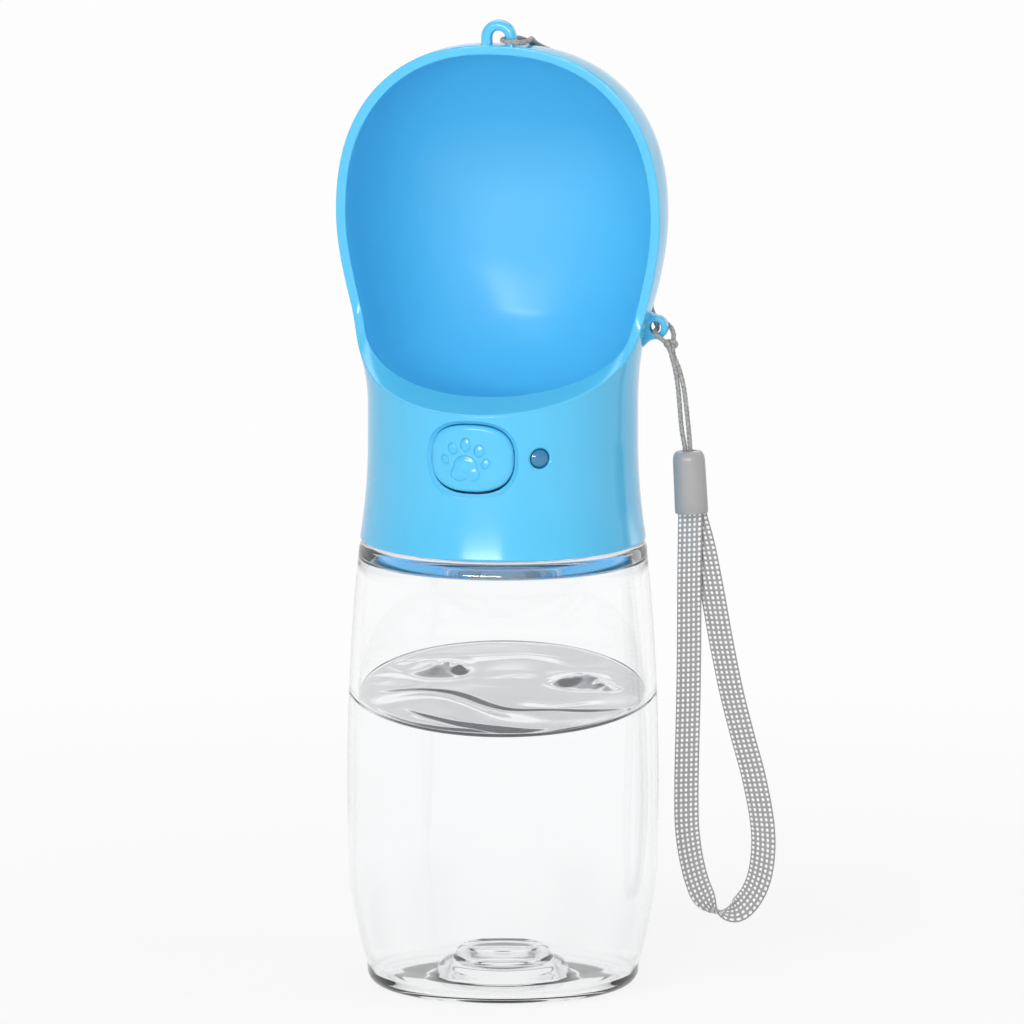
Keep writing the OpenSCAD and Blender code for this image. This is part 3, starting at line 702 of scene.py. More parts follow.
class Skin:
    # a surface made of slices, with a flat map of it on which triangles keep their shape:
    # the top is the map's centre, and each slice is a circle round it
    def __init__(self, shape, heights, insets, low):
        self.shape, self.low = shape, low
        self.heights, self.insets = np.array(heights, float), np.array(insets, float)
        turn = circle(72)
        rings = np.array([shape(turn, z, i, low) for z, i in zip(self.heights, self.insets)])
        size = np.linalg.norm(rings - np.roll(rings, 1, axis=1), axis=2).sum(1) / (2 * math.pi)
        size = np.maximum(size, 0.05)
        step = np.linalg.norm(np.diff(rings, axis=0), axis=2).mean(1)
        grow = step / (0.5 * (size[1:] + size[:-1]))
        self.log = np.concatenate([[0], np.cumsum(grow)])
        self.size, self.run = size, np.concatenate([[0], np.cumsum(step)])

    def flatOf(self, a, z=None, at=None):
        if at is None:
            at = np.interp(-np.asarray(z, float), -self.heights, self.log)
        rho = np.exp(at)
        return np.stack([rho * np.cos(a), rho * np.sin(a)], -1)

    def space(self, flat):
        flat = np.asarray(flat, float)
        at = np.log(np.maximum(np.hypot(flat[..., 0], flat[..., 1]), 1e-9))
        a = np.arctan2(flat[..., 1], flat[..., 0])
        z = np.interp(at, self.log, self.heights)
        inset = np.interp(at, self.log, self.insets)
        return self.shape(a, z, inset, self.low)

    def slopes(self, flat):
        h = np.linalg.norm(flat, axis=-1, keepdims=True) * 1e-3
        dx, dy = np.array([1.0, 0.0]), np.array([0.0, 1.0])
        ju = (self.space(flat + h * dx) - self.space(flat - h * dx)) / (2 * h)
        jv = (self.space(flat + h * dy) - self.space(flat - h * dy)) / (2 * h)
        return ju, jv

    def normals(self, flat):
        ju, jv = self.slopes(flat)
        return unitRows(np.cross(ju, jv))

    def offset(self, loop, distance, outward):
        # the loop's points moved along the surface, away from the loop's inside if outward
        here = self.space(loop)
        ju, jv = self.slopes(loop)
        normal = unitRows(np.cross(ju, jv))
        tangent = unitRows(np.roll(here, -1, axis=0) - np.roll(here, 1, axis=0))
        sideways = np.cross(tangent, normal)
        flatTangent = np.roll(loop, -1, axis=0) - np.roll(loop, 1, axis=0)
        area = 0.5 * np.sum(loop[:, 0] * np.roll(loop[:, 1], -1) - loop[:, 1] * np.roll(loop[:, 0], -1))
        out = np.stack([flatTangent[:, 1], -flatTangent[:, 0]], -1) * np.sign(area)
        push = ju * out[:, :1] + jv * out[:, 1:]
        sideways *= np.sign(np.sum(push * sideways, axis=1))[:, None]
        target = here + sideways * distance * (1 if outward else -1)
        flat = loop.copy()
        for _ in range(6):
            miss = target - self.space(flat)
            ju, jv = self.slopes(flat)
            uu, vv, uv = (ju * ju).sum(1), (jv * jv).sum(1), (ju * jv).sum(1)
            mu, mv = (miss * ju).sum(1), (miss * jv).sum(1)
            down = np.maximum(uu * vv - uv * uv, 1e-18)
            flat = flat + np.stack([(mu * vv - mv * uv) / down, (mv * uu - mu * uv) / down], -1)
        return flat

    def scatter(self, grain):
        # points spread evenly over the whole surface, in the map
        out = []
        for k, mark in enumerate(np.arange(grain, self.run[-1] - grain * 0.4, grain * 0.9)):
            at = np.interp(mark, self.run, self.log)
            count = max(6, round(2 * math.pi * np.interp(mark, self.run, self.size) / grain))
            a = (np.arange(count) + 0.5 * (k % 2)) * 2 * math.pi / count  # every other ring half a step on
            out.append(self.flatOf(a, at=at))
        return np.vstack(out)


def insideLoop(points, loop):
    x, y = points[:, 0], points[:, 1]
    inside = np.zeros(len(points), bool)
    for (x0, y0), (x1, y1) in zip(loop, np.roll(loop, -1, axis=0)):
        crossing = (y0 > y) != (y1 > y)
        if y0 != y1:
            inside ^= crossing & (x < (x1 - x0) * (y - y0) / (y1 - y0) + x0)
    return inside


def fillSkin(net, skin, holes, outline, grain, flip=False):
    # holes and outline are (flat loop, point numbers in the net)
    loops = [outline] + holes
    flat = np.vstack([loop for loop, _ in loops])
    numbers = [n for _, found in loops for n in found]
    edges, start = [], 0
    for loop, _ in loops:
        count = len(loop)
        edges += [(start + i, start + (i + 1) % count) for i in range(count)]
        start += count
    free = skin.scatter(grain)
    free = free[insideLoop(free, outline[0])]
    for loop, _ in holes:
        free = free[~insideLoop(free, loop)]
    rim = skin.space(flat)
    place = skin.space(free)
    clear = np.ones(len(free), bool)
    for k in range(0, len(rim), 200):
        gap = np.linalg.norm(place[:, None] - rim[None, k:k + 200], axis=2).min(1)
        clear &= gap > grain * 0.62
    free, place = free[clear], place[clear]
    numbers += net.put(place, skin.normals(free) * (-1 if flip else 1))
    for n, normal in zip(numbers[:len(flat)], skin.normals(flat) * (-1 if flip else 1)):
        net.given[n] = normal.tolist()
    both = np.vstack([flat, free])
    got = delaunay_2d_cdt([Vector(p) for p in both], edges, [], 0, 1e-9)
    verts, faces, origins = got[0], got[2], got[3]
    spots = np.array([v[:] for v in verts])
    tri = np.array([f for f in faces if len(f) == 3])
    middle = spots[tri].mean(1)
    keep = insideLoop(middle, outline[0])
    for loop, _ in holes:
        keep &= ~insideLoop(middle, loop)
    for a, b, c in tri[keep]:
        face = [numbers[origins[v][0]] for v in (a, b, c)]
        net.faces.append(face[::-1] if flip else face)


def lipDepth(z):
    # where the mouth's cut stands at height z
    up = np.clip((z - shell["lipZ"]) / shell["lipRise"], 0, 1)
    u = 1 - (1 - up) ** (1 / shell["lipSweep"])
    return -shell["waistR"] + (shell["waistR"] + shell["mouthY"]) * u


def rimAngle(z, insets, low):
    # angle in the slice at which the mouth's cut meets the surface, on the right side
    front, back, _, middle, power = sliceSizes(z)
    y = lipDepth(z)
    dd = np.maximum(domeShare(z, low, 2.2), 1e-9)
    ahead = np.clip((middle - y) / ((front + middle - insets) * dd), 0, 1)
    behind = np.clip((y - middle) / ((back - middle - insets) * dd), 0, 1)
    s = np.where(y < middle, -ahead ** (1 / power), behind ** (1 / power))
    return np.arcsin(np.clip(s, -1, 1))


def rimLoop(skin, bottomZ, insetAt, low, count):
    # the closed line where the mouth's cut meets a skin: up the right side, down the left
    topOfCut = shell["wideZ"] + shell["domeH"] - low
    t = np.linspace(0, 1, 3000)
    heights = bottomZ + (topOfCut - bottomZ) * (1 - (1 - t ** 2) ** 3)
    _, back, _, middle, _ = sliceSizes(heights)
    room = (back - middle - insetAt(heights)) * domeShare(heights, low, 2.2)
    heights = heights[(heights < shell["wideZ"]) | (middle + room > shell["mouthY"] + 1e-4)]
    a = rimAngle(heights, insetAt(heights), low)
    a[0] = -math.pi / 2
    a = np.append(a, math.pi / 2)
    heights = np.append(heights, heights[-1])
    spots = skin.shape(a, heights, insetAt(heights), low)
    spots[0, 0] = spots[-1, 0] = 0
    run = np.concatenate([[0], np.cumsum(np.linalg.norm(np.diff(spots, axis=0), axis=1))])
    marks = np.linspace(0, run[-1], count + 1)
    flat = skin.flatOf(a, z=heights)
    right = np.stack([np.interp(marks, run, flat[:, k]) for k in range(2)], 1)
    right[0, 0] = right[-1, 0] = 0
    left = right[-2:0:-1] * np.array([-1, 1])
    return np.vstack([right, left])


def edgeBand(net, outerRow, outerLine, innerLine, innerRow, radius, steps=5):
    # the rounded edge between two surfaces; rows are numbers of points that stand there already
    between = innerLine - outerLine
    length = np.linalg.norm(between, axis=1, keepdims=True)
    inset = between / length * np.minimum(radius, length * 0.4)
    start, end = (np.array([net.points[i] for i in row]) for row in (outerRow, innerRow))
    rows = [outerRow]
    for line in rounded(start, outerLine, outerLine + inset, steps)[1:]:
        rows.append(net.put(line))
    for line in rounded(innerLine - inset, innerLine, end, steps)[:-1]:
        rows.append(net.put(line))
    return rows + [innerRow]


def dishBand(net, skin, line, width, depth):
    # a shallow dish round an opening: a crisp outer edge, then a hollow slope down to the hole
    outerFlat = skin.offset(line, width, True)
    rowOut = net.put(skin.space(outerFlat))
    rows = [rowOut]
    for share, deep in ((0.05, 0.02), (0.12, 0.10), (0.22, 0.27), (0.4, 0.52), (0.6, 0.74),
            (0.8, 0.90), (0.93, 0.97), (1.0, 1.06)):
        flat = skin.offset(line, width * (1 - share), True) if share < 1 else line
        rows.append(net.put(skin.space(flat) - skin.normals(flat) * depth * deep))
    return rows, outerFlat, rowOut


def buttonLine(grow, count=160):
    a = circle(count)
    k = 2 / button["power"]
    x = (button["halfW"] + grow) * signedPow(np.cos(a), k)
    z = (button["halfH"] + grow) * signedPow(np.sin(a), k)
    return x, z + button["z"]


def makeShell():
    c = shell
    net = Net()
    # outside, from the dome's top down to the collar's edge
    dome = c["wideZ"] + c["domeH"] * np.sin(np.linspace(math.pi / 2 - 0.004, 0, 500))
    heights = np.concatenate([dome, np.arange(c["wideZ"] - 0.2, c["collarZ"] - 0.1, -0.2)])
    outer = Skin(slicePoint, heights, 0 * heights, 0)
    # inside of the scoop, down to the water outlet
    domeIn = c["wideZ"] + (c["domeH"] - c["wall"]) * np.sin(np.linspace(math.pi / 2 - 0.004, 0, 500))
    down = np.arange(c["wideZ"] - 0.2, c["bowlZ"] + c["bowlH"], -0.2)
    bowl = c["bowlZ"] + c["bowlH"] * (1 - np.sin(np.linspace(0, math.pi / 2, 160)))
    scoopZ = np.concatenate([domeIn, down, bowl])
    scoopIn = c["wall"] + bowlInset(scoopZ)
    flatR = np.linspace(0, 0.25, 4)[1:]  # the level floor round the outlet
    scoopZ = np.concatenate([scoopZ, c["bowlZ"] - 0.0001 * np.arange(1, 4)])
    scoopIn = np.concatenate([scoopIn, scoopIn[-1] + flatR])
    inner = Skin(slicePoint, scoopZ, scoopIn, c["wall"])
    # inside of the collar
    boreZ = np.arange(c["roofZ"], c["collarZ"] + 0.3, -0.2)
    bore = Skin(borePoint, boreZ, 0 * boreZ, 0)

    def insetInside(z):
        return c["wall"] + bowlInset(z)

    # lowest point of the inner rim
    low, high = c["lipZ"] + 0.1, c["lipZ"] + 8
    for _ in range(60):
        mid = 0.5 * (low + high)
        front, _, _, middle, _ = sliceSizes(mid)
        y = middle - (front + middle - insetInside(mid))
        low, high = (low, mid) if y < lipDepth(mid) else (mid, high)
    innerLow = 0.5 * (low + high)
    print("inner lip at", round(float(innerLow), 2))
    outerLoop = rimLoop(outer, c["lipZ"], lambda z: 0 * z, 0, c["rimPoints"])
    innerLoop = rimLoop(inner, innerLow, insetInside, c["wall"], c["rimPoints"])
    outerSoft = outer.offset(outerLoop, c["rimRound"], True)
    innerSoft = inner.offset(innerLoop, c["rimRound"], True)
    outerNumbers = net.put(outer.space(outerSoft))
    innerNumbers = net.put(inner.space(innerSoft))
    net.faces += bandFaces(edgeBand(net, outerNumbers, outer.space(outerLoop),
        inner.space(innerLoop), innerNumbers, c["rimRound"]))

    holes = [(outerSoft, outerNumbers)]
    boreHoles = []

    def pierce(outerLine, boreLine, width, depth):
        band, softFlat, rowOut = dishBand(net, outer, outerLine, width, depth)
        rowIn = net.put(bore.space(boreLine))
        net.faces += bandFaces(band + [rowIn])
        holes.append((softFlat, rowOut))
        boreHoles.append((boreLine, rowIn))

    # opening for the button
    x, z = buttonLine(button["gap"])
    x, z = x + button["shift"][0], z + button["shift"][1]
    side = sliceSizes(z)[2]
    drop = np.clip((button["z"] - z) / button["halfH"], 0, 1)[:, None]
    pierce(outer.flatOf(-np.arccos(x / side), z=z), bore.flatOf(-np.arccos(x / c["boreR"]), z=z),
        button["dishW"] + button["dishMore"] * drop ** 2, button["dishDepth"])
    # hole for the window
    t = circle(72)
    across = window["radius"] * np.cos(t)
    z = button["z"] + window["radius"] * np.sin(t)
    turn = -math.pi / 2 + window["arc"] / c["waistR"]
    side = sliceSizes(z)[2]
    pierce(outer.flatOf(turn + np.arcsin(across / side), z=z),
        bore.flatOf(turn + np.arcsin(across / c["boreR"]), z=z), window["edge"], window["depth"])

    # collar's lower edge, rounded, up to the bore
    turn = circle(180)
    bottomZ = c["collarZ"] + 0.6
    outlineFlat = outer.flatOf(turn, z=bottomZ + 0 * turn)
    rowOut = net.put(outer.space(outlineFlat))
    foot = rounded(np.array([c["collarR"] - 0.08, bottomZ]), np.array([c["collarR"], c["collarZ"]]),
        np.array([c["collarR"] - 0.6, c["collarZ"]]), 5)[1:]
    foot = np.vstack([foot, [[c["boreR"] + 0.4, c["collarZ"]], [c["boreR"] + 0.1, c["collarZ"] + 0.1]]])
    boreBottom = bore.flatOf(turn, z=c["collarZ"] + 0.4 + 0 * turn)
    rows = [rowOut] + [net.ring(r, z, turn) for r, z in foot]
    rowBore = net.put(bore.space(boreBottom))
    net.faces += bandFaces(rows + [rowBore], flip=True)
    fillSkin(net, outer, holes, (outlineFlat, rowOut), c["grain"])

    # roof of the chamber and the water outlet
    boreTop = bore.flatOf(turn, z=c["roofZ"] - 0.05 + 0 * turn)
    rowTop = net.put(bore.space(boreTop))
    under = softProfile([[c["boreR"], c["roofZ"]], [20.2, 140.5], [14, 138.2], [8.5, c["hubZ"]],
        [c["outletR"], c["hubZ"]], [c["outletR"], c["bowlZ"] - 0.5]], 0.6, 3)[1:]
    rows = [rowTop] + [net.ring(r, z, turn) for r, z in under]
    spoutFlat = inner.flatOf(turn, at=inner.log[-1] - 1e-6 + 0 * turn)
    rowSpout = net.put(inner.space(spoutFlat))
    net.faces += bandFaces(rows + [rowSpout], flip=True)
    scoopFrom = len(net.faces)
    fillSkin(net, inner, [(innerSoft, innerNumbers)], (spoutFlat, rowSpout), c["grain"], flip=True)
    net.scoop = slice(scoopFrom, len(net.faces))
    boreHoles.append((boreTop, rowTop))
    fillSkin(net, bore, boreHoles, (boreBottom, rowBore), 2.2, flip=True)
    return net


headNet = makeShell()
print("head shell:", len(headNet.points), "points")


loop = {"z": 228.2, "y": -3.8, "ringR": 2.95, "thick": 2.6, "deep": 3.0, "foot": 225.2}
lug = {"centre": (36.7, 159.0), "y": 3.0, "radius": 2.9, "hole": 1.4, "thick": 2.6, "edge": 0.45}


def tubeRows(net, path, wide, deep, halfW, halfD, power, sides=20):
    # a rounded bar along a path, as rows of points
    a = circle(sides)
    w = signedPow(np.cos(a), 2 / power) * halfW
    d = signedPow(np.sin(a), 2 / power) * halfD
    net.faces += tubeFaces([net.put(p + np.outer(w, x) + np.outer(d, y))
        for p, x, y in zip(path, wide, deep)])


def addTopLoop(net):
    c = loop
    arch = [(-c["ringR"] - 0.5, c["foot"]), (-c["ringR"] - 0.2, c["foot"] + 0.9), (-c["ringR"], c["z"] - 2)]
    arch += [(c["ringR"] * math.cos(t), c["z"] + c["ringR"] * math.sin(t))
        for t in np.linspace(math.pi, 0, 25)]
    arch += [(c["ringR"], c["z"] - 2), (c["ringR"] + 0.2, c["foot"] + 0.9), (c["ringR"] + 0.5, c["foot"])]
    path = np.array([(x, c["y"], z) for x, z in arch])
    along = unitRows(np.gradient(path, axis=0))
    deep = np.tile([0.0, 1.0, 0.0], (len(path), 1))
    wide = np.cross(deep, along)
    tubeRows(net, path, wide, deep, c["thick"] / 2, c["deep"] / 2, 2.8)


def addSideLug(net):
    # a tab that widens into the scoop's wall, with a round hole for the strings
    c = lug
    cx, cz = c["centre"]
    n = 96
    outline = []
    for i in range(n):
        a = 2 * math.pi * i / n
        x, z = math.cos(a), math.sin(a)
        r = c["radius"]
        px, pz = cx + r * x, cz + r * z
        if x < 0.25:  # towards the wall the tab runs on and spreads
            run = (0.25 - x) / 1.25
            px = cx + r * 0.25 - run * 3.9
            spread = r * 0.968 + 2.6 * run ** 2.2
            pz = cz + math.copysign(spread, z) * min(1, abs(z) / 0.35) ** 0.6 + 0.3 * run
        outline.append((px, pz))
    outline = np.array(outline)
    hole = np.array([(cx + c["hole"] * math.cos(2 * math.pi * i / n),
        cz + c["hole"] * math.sin(2 * math.pi * i / n)) for i in range(n)])
    centre = np.array([cx - 1.2, cz])
    inward = unitRows(centre - outline)
    half = c["thick"] / 2
    edge = c["edge"]

    def ringOf(flat, y):
        return net.put([(p[0], c["y"] + y, p[1]) for p in flat])

    rows = []
    turns = np.radians([0, 30, 60, 90])
    for t in turns:
        rows.append(ringOf(outline + inward * edge * (1 - math.cos(t)), -half + edge - edge * math.sin(t)))
    face = outline + inward * edge
    for share in (0.35, 0.7):
        rows.append(ringOf(face * (1 - share) + (hole + unitRows(hole - [cx, cz]) * 0.4) * share, -half))
    for t in turns[::-1]:
        rows.append(ringOf(hole + unitRows(hole - [cx, cz]) * 0.4 * (1 - math.cos(t)),
            -half + 0.4 - 0.4 * math.sin(t)))
    mirrored = []
    for row in rows[::-1]:
        mirrored.append(net.put([(net.points[i][0], 2 * c["y"] - net.points[i][1], net.points[i][2])
            for i in row]))
    everything = rows + mirrored
    everything.append(everything[0])
    net.faces += bandFaces(everything, flip=True)


thread = {"turns": 1.25, "pitch": 4, "foot": 1.1, "crest": 0.5, "boreZ": 108.6, "boreCrestR": 27.9,
    "neckZ": 110.5, "neckRootR": 27.3, "neckHigh": 1.6}
boss = {"angles": (90, 210, 330), "fromAxis": 19,
    "profile": [(1.5, 139.5), (1.5, 123.3), (1.7, 123.0), (3.0, 123.0), (3.2, 123.2), (3.2, 140.7)]}


def addThread(net, startZ, steps, fadeSteps, least, section):
    # a ridge that winds up and fades at both ends; section gives it as radii and heights
    rows = []
    for i in range(steps + 1):
        share = thread["turns"] * i / steps
        fade = float(smoothStep(min(i, steps - i) / fadeSteps)) * (1 - least) + least
        a = 2 * math.pi * share
        d = np.array([math.cos(a), math.sin(a), 0])
        z = startZ + thread["pitch"] * share
        rows.append(net.put([d * r + [0, 0, z + up] for r, up in section(fade)]))
    net.faces += tubeFaces(rows)


def addInsides(net):
    # the thread's ridge in the bore and the three screw bosses under the roof
    foot, top = thread["foot"], thread["crest"]
    root = shell["boreR"] + 0.3

    def ridge(fade):
        crest = root + (thread["boreCrestR"] - root) * fade
        return [(root, -foot), (crest, -top), (crest - 0.12 * fade, 0), (crest, top), (root, foot)]

    addThread(net, thread["boreZ"], 60, 6, 0.1, ridge)
    for angle in boss["angles"]:
        before = len(net.points)
        rows = net.lathe(boss["profile"], 40, flip=True)
        net.faces += bandFaces([rows[-1], rows[0]], flip=True)
        a = math.radians(angle)
        for p in net.points[before:]:
            p[0] += boss["fromAxis"] * math.cos(a)
            p[1] += boss["fromAxis"] * math.sin(a)


addTopLoop(headNet)
addSideLug(headNet)
addInsides(headNet)
head = headNet.piece("head_shell_moulded", "blue_plastic", "head", "head_shell")
secondFinish(head, "scoop_plastic", headNet.scoop)
print("head made")


def pawDepth(x, z):
    # 0 outside the paw, 1 well inside it
    c = button
    soft = c["pawSoft"]
    deepest = np.full(x.shape, -9.0)
    for tx, tz, w, h, lean in c["toes"]:
        t = math.radians(lean)
        u = (x - tx) * math.cos(t) + (z - tz) * math.sin(t)
        v = -(x - tx) * math.sin(t) + (z - tz) * math.cos(t)
        r = np.hypot(u / (w / 2), v / (h / 2))
        deepest = np.maximum(deepest, (1 - r) * min(w, h) / 2)
    blendSum = 0
    for px, pz, rx, rz in c["pads"]:
        r = np.hypot((x - px) / rx, (z - pz) / rz)
        blendSum = blendSum + np.exp(6 * np.clip((1 - r) * min(rx, rz), -4, 3))
    pad = np.log(blendSum) / 6
    deepest = np.maximum(deepest, pad)
    wall = smoothStep((deepest + soft * 0.5) / soft)
    crown = smoothStep((deepest - soft * 0.4) / 1.2) * 0.35
    return wall - crown


def makeButton():
    c = button
    net = Net()
    a = circle(220)
    k = 2 / c["power"]
    ox, oz = signedPow(np.cos(a), k), signedPow(np.sin(a), k)
    rows = []
    shares = np.concatenate([np.linspace(0.012, 0.88, 84), np.linspace(0.88, 1, 12)[1:]])

    for share in shares:
        x, z = c["halfW"] * share * ox, c["halfH"] * share * oz
        edgeGap = (1 - share) * c["halfH"]
        inside = max(0.0, 1 - edgeGap / c["edge"])
        roundOff = c["edge"] * 0.75 * (1 - math.sqrt(max(0.0, 1 - inside ** 2)))
        faceR = c["faceR"] - 0.12 * share ** 2
        y = -np.sqrt(faceR ** 2 - x ** 2) + roundOff + c["pawDepth"] * pawDepth(x, z)
        rows.append(net.put(np.stack([x, y, z + c["z"]], -1)))
    for y in (-29.6, -c["flangeY"]):
        rows.append(net.put(np.stack([c["halfW"] * ox, 0 * ox + y, c["halfH"] * oz + c["z"]], -1)))
    for grow, y in ((1.05, -c["flangeY"]), (1.05, -c["flangeY"] + c["flangeT"])):
        rows.append(net.put(np.stack([(c["halfW"] + grow) * ox, 0 * ox + y,
            (c["halfH"] + grow * 0.28) * oz + c["z"]], -1)))
    for r, y in ((3.4, -25.7), (3.4, -22.9), (3.2, -22.7), (2.75, -22.7), (2.55, -22.9), (2.55, -28.6)):
        rows.append(net.put(np.stack([r * np.cos(a), 0 * a + y, r * np.sin(a) + c["z"]], -1)))
    net.faces = tubeFaces(rows)
    net.piece("button_cap_moulded", "blue_plastic", "button", "button_cap")


makeButton()
print("button made")


lens = {"peak": 31.95, "domeR": 2.12, "domeH": 0.62, "ringR": 2.44, "ringDrop": 0.95, "seatR": 2.85,
    "seatOut": 29.1, "seatIn": 28.15}


def makeLens():
    c = lens
    sphere = (c["domeR"] ** 2 + c["domeH"] ** 2) / (2 * c["domeH"])
    shares = np.linspace(0.03, 1, 14)
    profile = [(c["domeR"] * s, c["peak"] - sphere + math.sqrt(sphere ** 2 - (c["domeR"] * s) ** 2))
        for s in shares]
    foot = c["peak"] - c["ringDrop"]
    profile += [(c["domeR"] + 0.03, profile[-1][1] - 0.08), (c["domeR"] + 0.05, foot),
        (c["ringR"] - 0.05, foot), (c["ringR"], foot - 0.06), (c["ringR"], c["seatOut"]),
        (c["seatR"], c["seatOut"]), (c["seatR"], c["seatIn"]), (0.05, c["seatIn"])]
    net = Net()
    rows = net.lathe(profile, 64, flip=True)
    net.faces += [rows[0], rows[-1][::-1]]
    turn = window["arc"] / shell["waistR"]
    out = np.array([math.sin(turn), -math.cos(turn), 0])
    side = np.array([math.cos(turn), math.sin(turn), 0])
    net.points = [(side * p[0] + out * p[2] + [0, 0, p[1] + button["z"]]).tolist() for p in net.points]
    net.piece("window_lens_domed", "lens", "head", "window_lens")


makeLens()


bottle = {
    "height": 106.9, "sideR": 37.05, "bulge": 3.05, "bulgeZ": 49, "wall": 2.2,
    "floorWall": 1.25, "thinTo": 8, "fullFrom": 42,  # thin wall up to this height, full from this one
    "heelR": 32.4, "heelZ": 5, "bellyZ": 19, "heelTopZ": 27,  # the curve from the foot to the side
    "neckR": 27.6, "neckIn": 25.4, "neckTop": 117.9, "sides": 216,
}
# clear: how far the water reaches into the wall, so that no second border shows
water = {"level": 70.9, "tilt": 8.6, "clear": 0.9, "sideZ": 55,
    # the rise and the groove along the wall at the front: height, mm from the wall, width
    "rise": (0.5, 0.75, 0.4), "groove": (0.3, 2.1, 0.5)}


def sideAt(z):
    c = bottle
    return c["sideR"] - c["bulge"] * ((z - c["bulgeZ"]) / (c["height"] - c["bulgeZ"])) ** 2


def heelCurve(start, b, c, steps=18):
    # insets at the curve's foot, middle and top
    side, topZ = sideAt(bottle["heelTopZ"]), bottle["heelTopZ"]
    foot = np.array([bottle["heelR"] - start, bottle["heelZ"] + start * 0.6])
    belly = np.array([side - 0.35 - b, bottle["bellyZ"]])
    return rounded(foot, belly, np.array([side - c, topZ]), steps)


def wallAt(z):
    c = bottle
    share = smoothStep((z - c["thinTo"]) / (c["fullFrom"] - c["thinTo"]))
    return c["floorWall"] + (c["wall"] - c["floorWall"]) * share


def arc(r, z, size, start, end, steps=12):
    t = np.radians(np.linspace(start, end, steps + 1))
    return np.stack([r + size * np.cos(t), z + size * np.sin(t)], 1)


def outsideProfile():
    c = bottle
    z = np.linspace(31, c["height"] - 1.6, 36)
    under = softProfile([[0, 8.1], [7.6, 8.1], [9.5, 5.6], [12.2, 4.7], [13.7, 1.3], [24, 0.6],
        [24.8, 0], [28.7, 0]], 0.9, 5)
    return np.vstack([under, arc(28.7, 3.6, 3.6, -75, -10), heelCurve(0, 0, 0), np.stack([sideAt(z), z], 1),
        arc(sideAt(c["height"]) - 1.6, c["height"] - 1.6, 1.6, 12, 90),
        softProfile([[c["neckR"] + 1.2, c["height"]], [c["neckR"], c["height"]],
            [c["neckR"], c["neckTop"]], [26.5, c["neckTop"]]], 0.5, 4)])


def insideProfile(inset=0.0):
    c = bottle
    z = np.linspace(31, c["height"] - c["wall"] - 3.8, 36)
    low = np.clip(inset, -0.4, None)
    floor = softProfile([[0, 9.4 + low], [6.4, 9.4 + low], [9.2, 9.9 + low], [10.7, 8.8 + low],
        [11.3, 7.0 + low], [13.5, 6.3 + low], [14.9, 5.0 + low], [15.7, 2.7 + low], [17.8, 2.05 + low],
        [27.2, 1.8 + low]], 0.8, 5)
    return np.vstack([floor, arc(28.2 - low, 4.8, 3.0 - low * 0.5, -86, -20),
        heelCurve(*(wallAt(c[key]) + low for key in ("heelZ", "bellyZ", "heelTopZ"))),
        np.stack([sideAt(z) - wallAt(z) - inset * smoothStep((z - 30) / 12) - low
        * (1 - smoothStep((z - 30) / 12)), z], 1)])


def neckInside():
    c = bottle
    top = c["height"] - c["wall"]
    corner = sideAt(c["height"]) - c["wall"]
    # the thick inner corner turns the light up, so that the collar's blue shows in it
    return softProfile([[corner + 0.15, top - 3.6], [corner + 0.05, top - 2.1], [corner - 2.5, top],
        [c["neckIn"], top], [c["neckIn"], c["neckTop"]], [26.5, c["neckTop"]]], 0.7, 6)[1:]


def makeBottle():
    net = Net()
    net.lathe(outsideProfile()[::-1], bottle["sides"], flip=True)
    net.lathe(np.vstack([insideProfile(), neckInside()]), bottle["sides"], flip=True)
    root, foot, top = thread["neckRootR"], thread["foot"], thread["crest"]

    def ridge(fade):
        crest = root + thread["neckHigh"] * fade
        return [(root, -foot), (root, foot), (crest, top), (crest + 0.1, 0), (crest, -top)]

    addThread(net, thread["neckZ"], 90, 9, 0.08, ridge)
    net.piece("bottle_clear", "clear_bottle", "bottle", "bottle")


waves = {
    # a step's line (u, v), its drop, the rise and the run before it, where it starts and ends,
    # and where its drop and its rise are at their strongest
    "steps": [
        ([(-35, -3.5), (-27, -1.2), (-19, 0.6), (-12, -0.6), (-7, -5.5), (-1, -12.5), (6, -15.8),
            (18, -17.2), (33, -14)], 0.8, 1.1, 12, (-33, 33), -7, -15),
        ([(-28, -13), (-20, -19.5), (-11, -25.5), (-3, -29.5), (6, -30.3), (14, -29.3)],
            1.0, 0.5, 4, (-25, 13), -3, -12),
        ([(-22, 26), (-8, 23.5), (6, 26), (20, 21)], 0.2, 0.7, 6, (-17, 19), 2, 4),
        ([(2, -7.5), (12, -10.5), (24, -7)], 0.1, 0.5, 5, (0, 26), 12, 12),
    ],
    # a splash: place (u, v), height, size, stretch along u, turn of its folds
    "splashes": [(-15.5, 15, 1.5, 5.6, 1.3, 0.6), (-10.5, 13, 0.7, 2.2, 0.9, 2.1),
        (-21, 17, 0.6, 3.2, 1.4, 4.0), (19, 6, 1.6, 5.2, 1.3, 1.4), (14.5, 4, 0.5, 2.4, 1.4, 3.3),
        (24.5, 1.5, 0.8, 2.4, 1.2, 5.1), (-27, 6, 0.4, 4, 1.5, 1.0), (1.5, 7, 0.2, 4.5, 1.7, 2.5)],
    "swell": [(0.17, 0.12, 0.12, 0.0), (0.11, -0.25, 0.10, 1.3), (0.34, 0.21, 0.035, 2.2),
        (-0.23, 0.42, 0.03, 0.7)],  # turns per mm along u and v, height, start
}


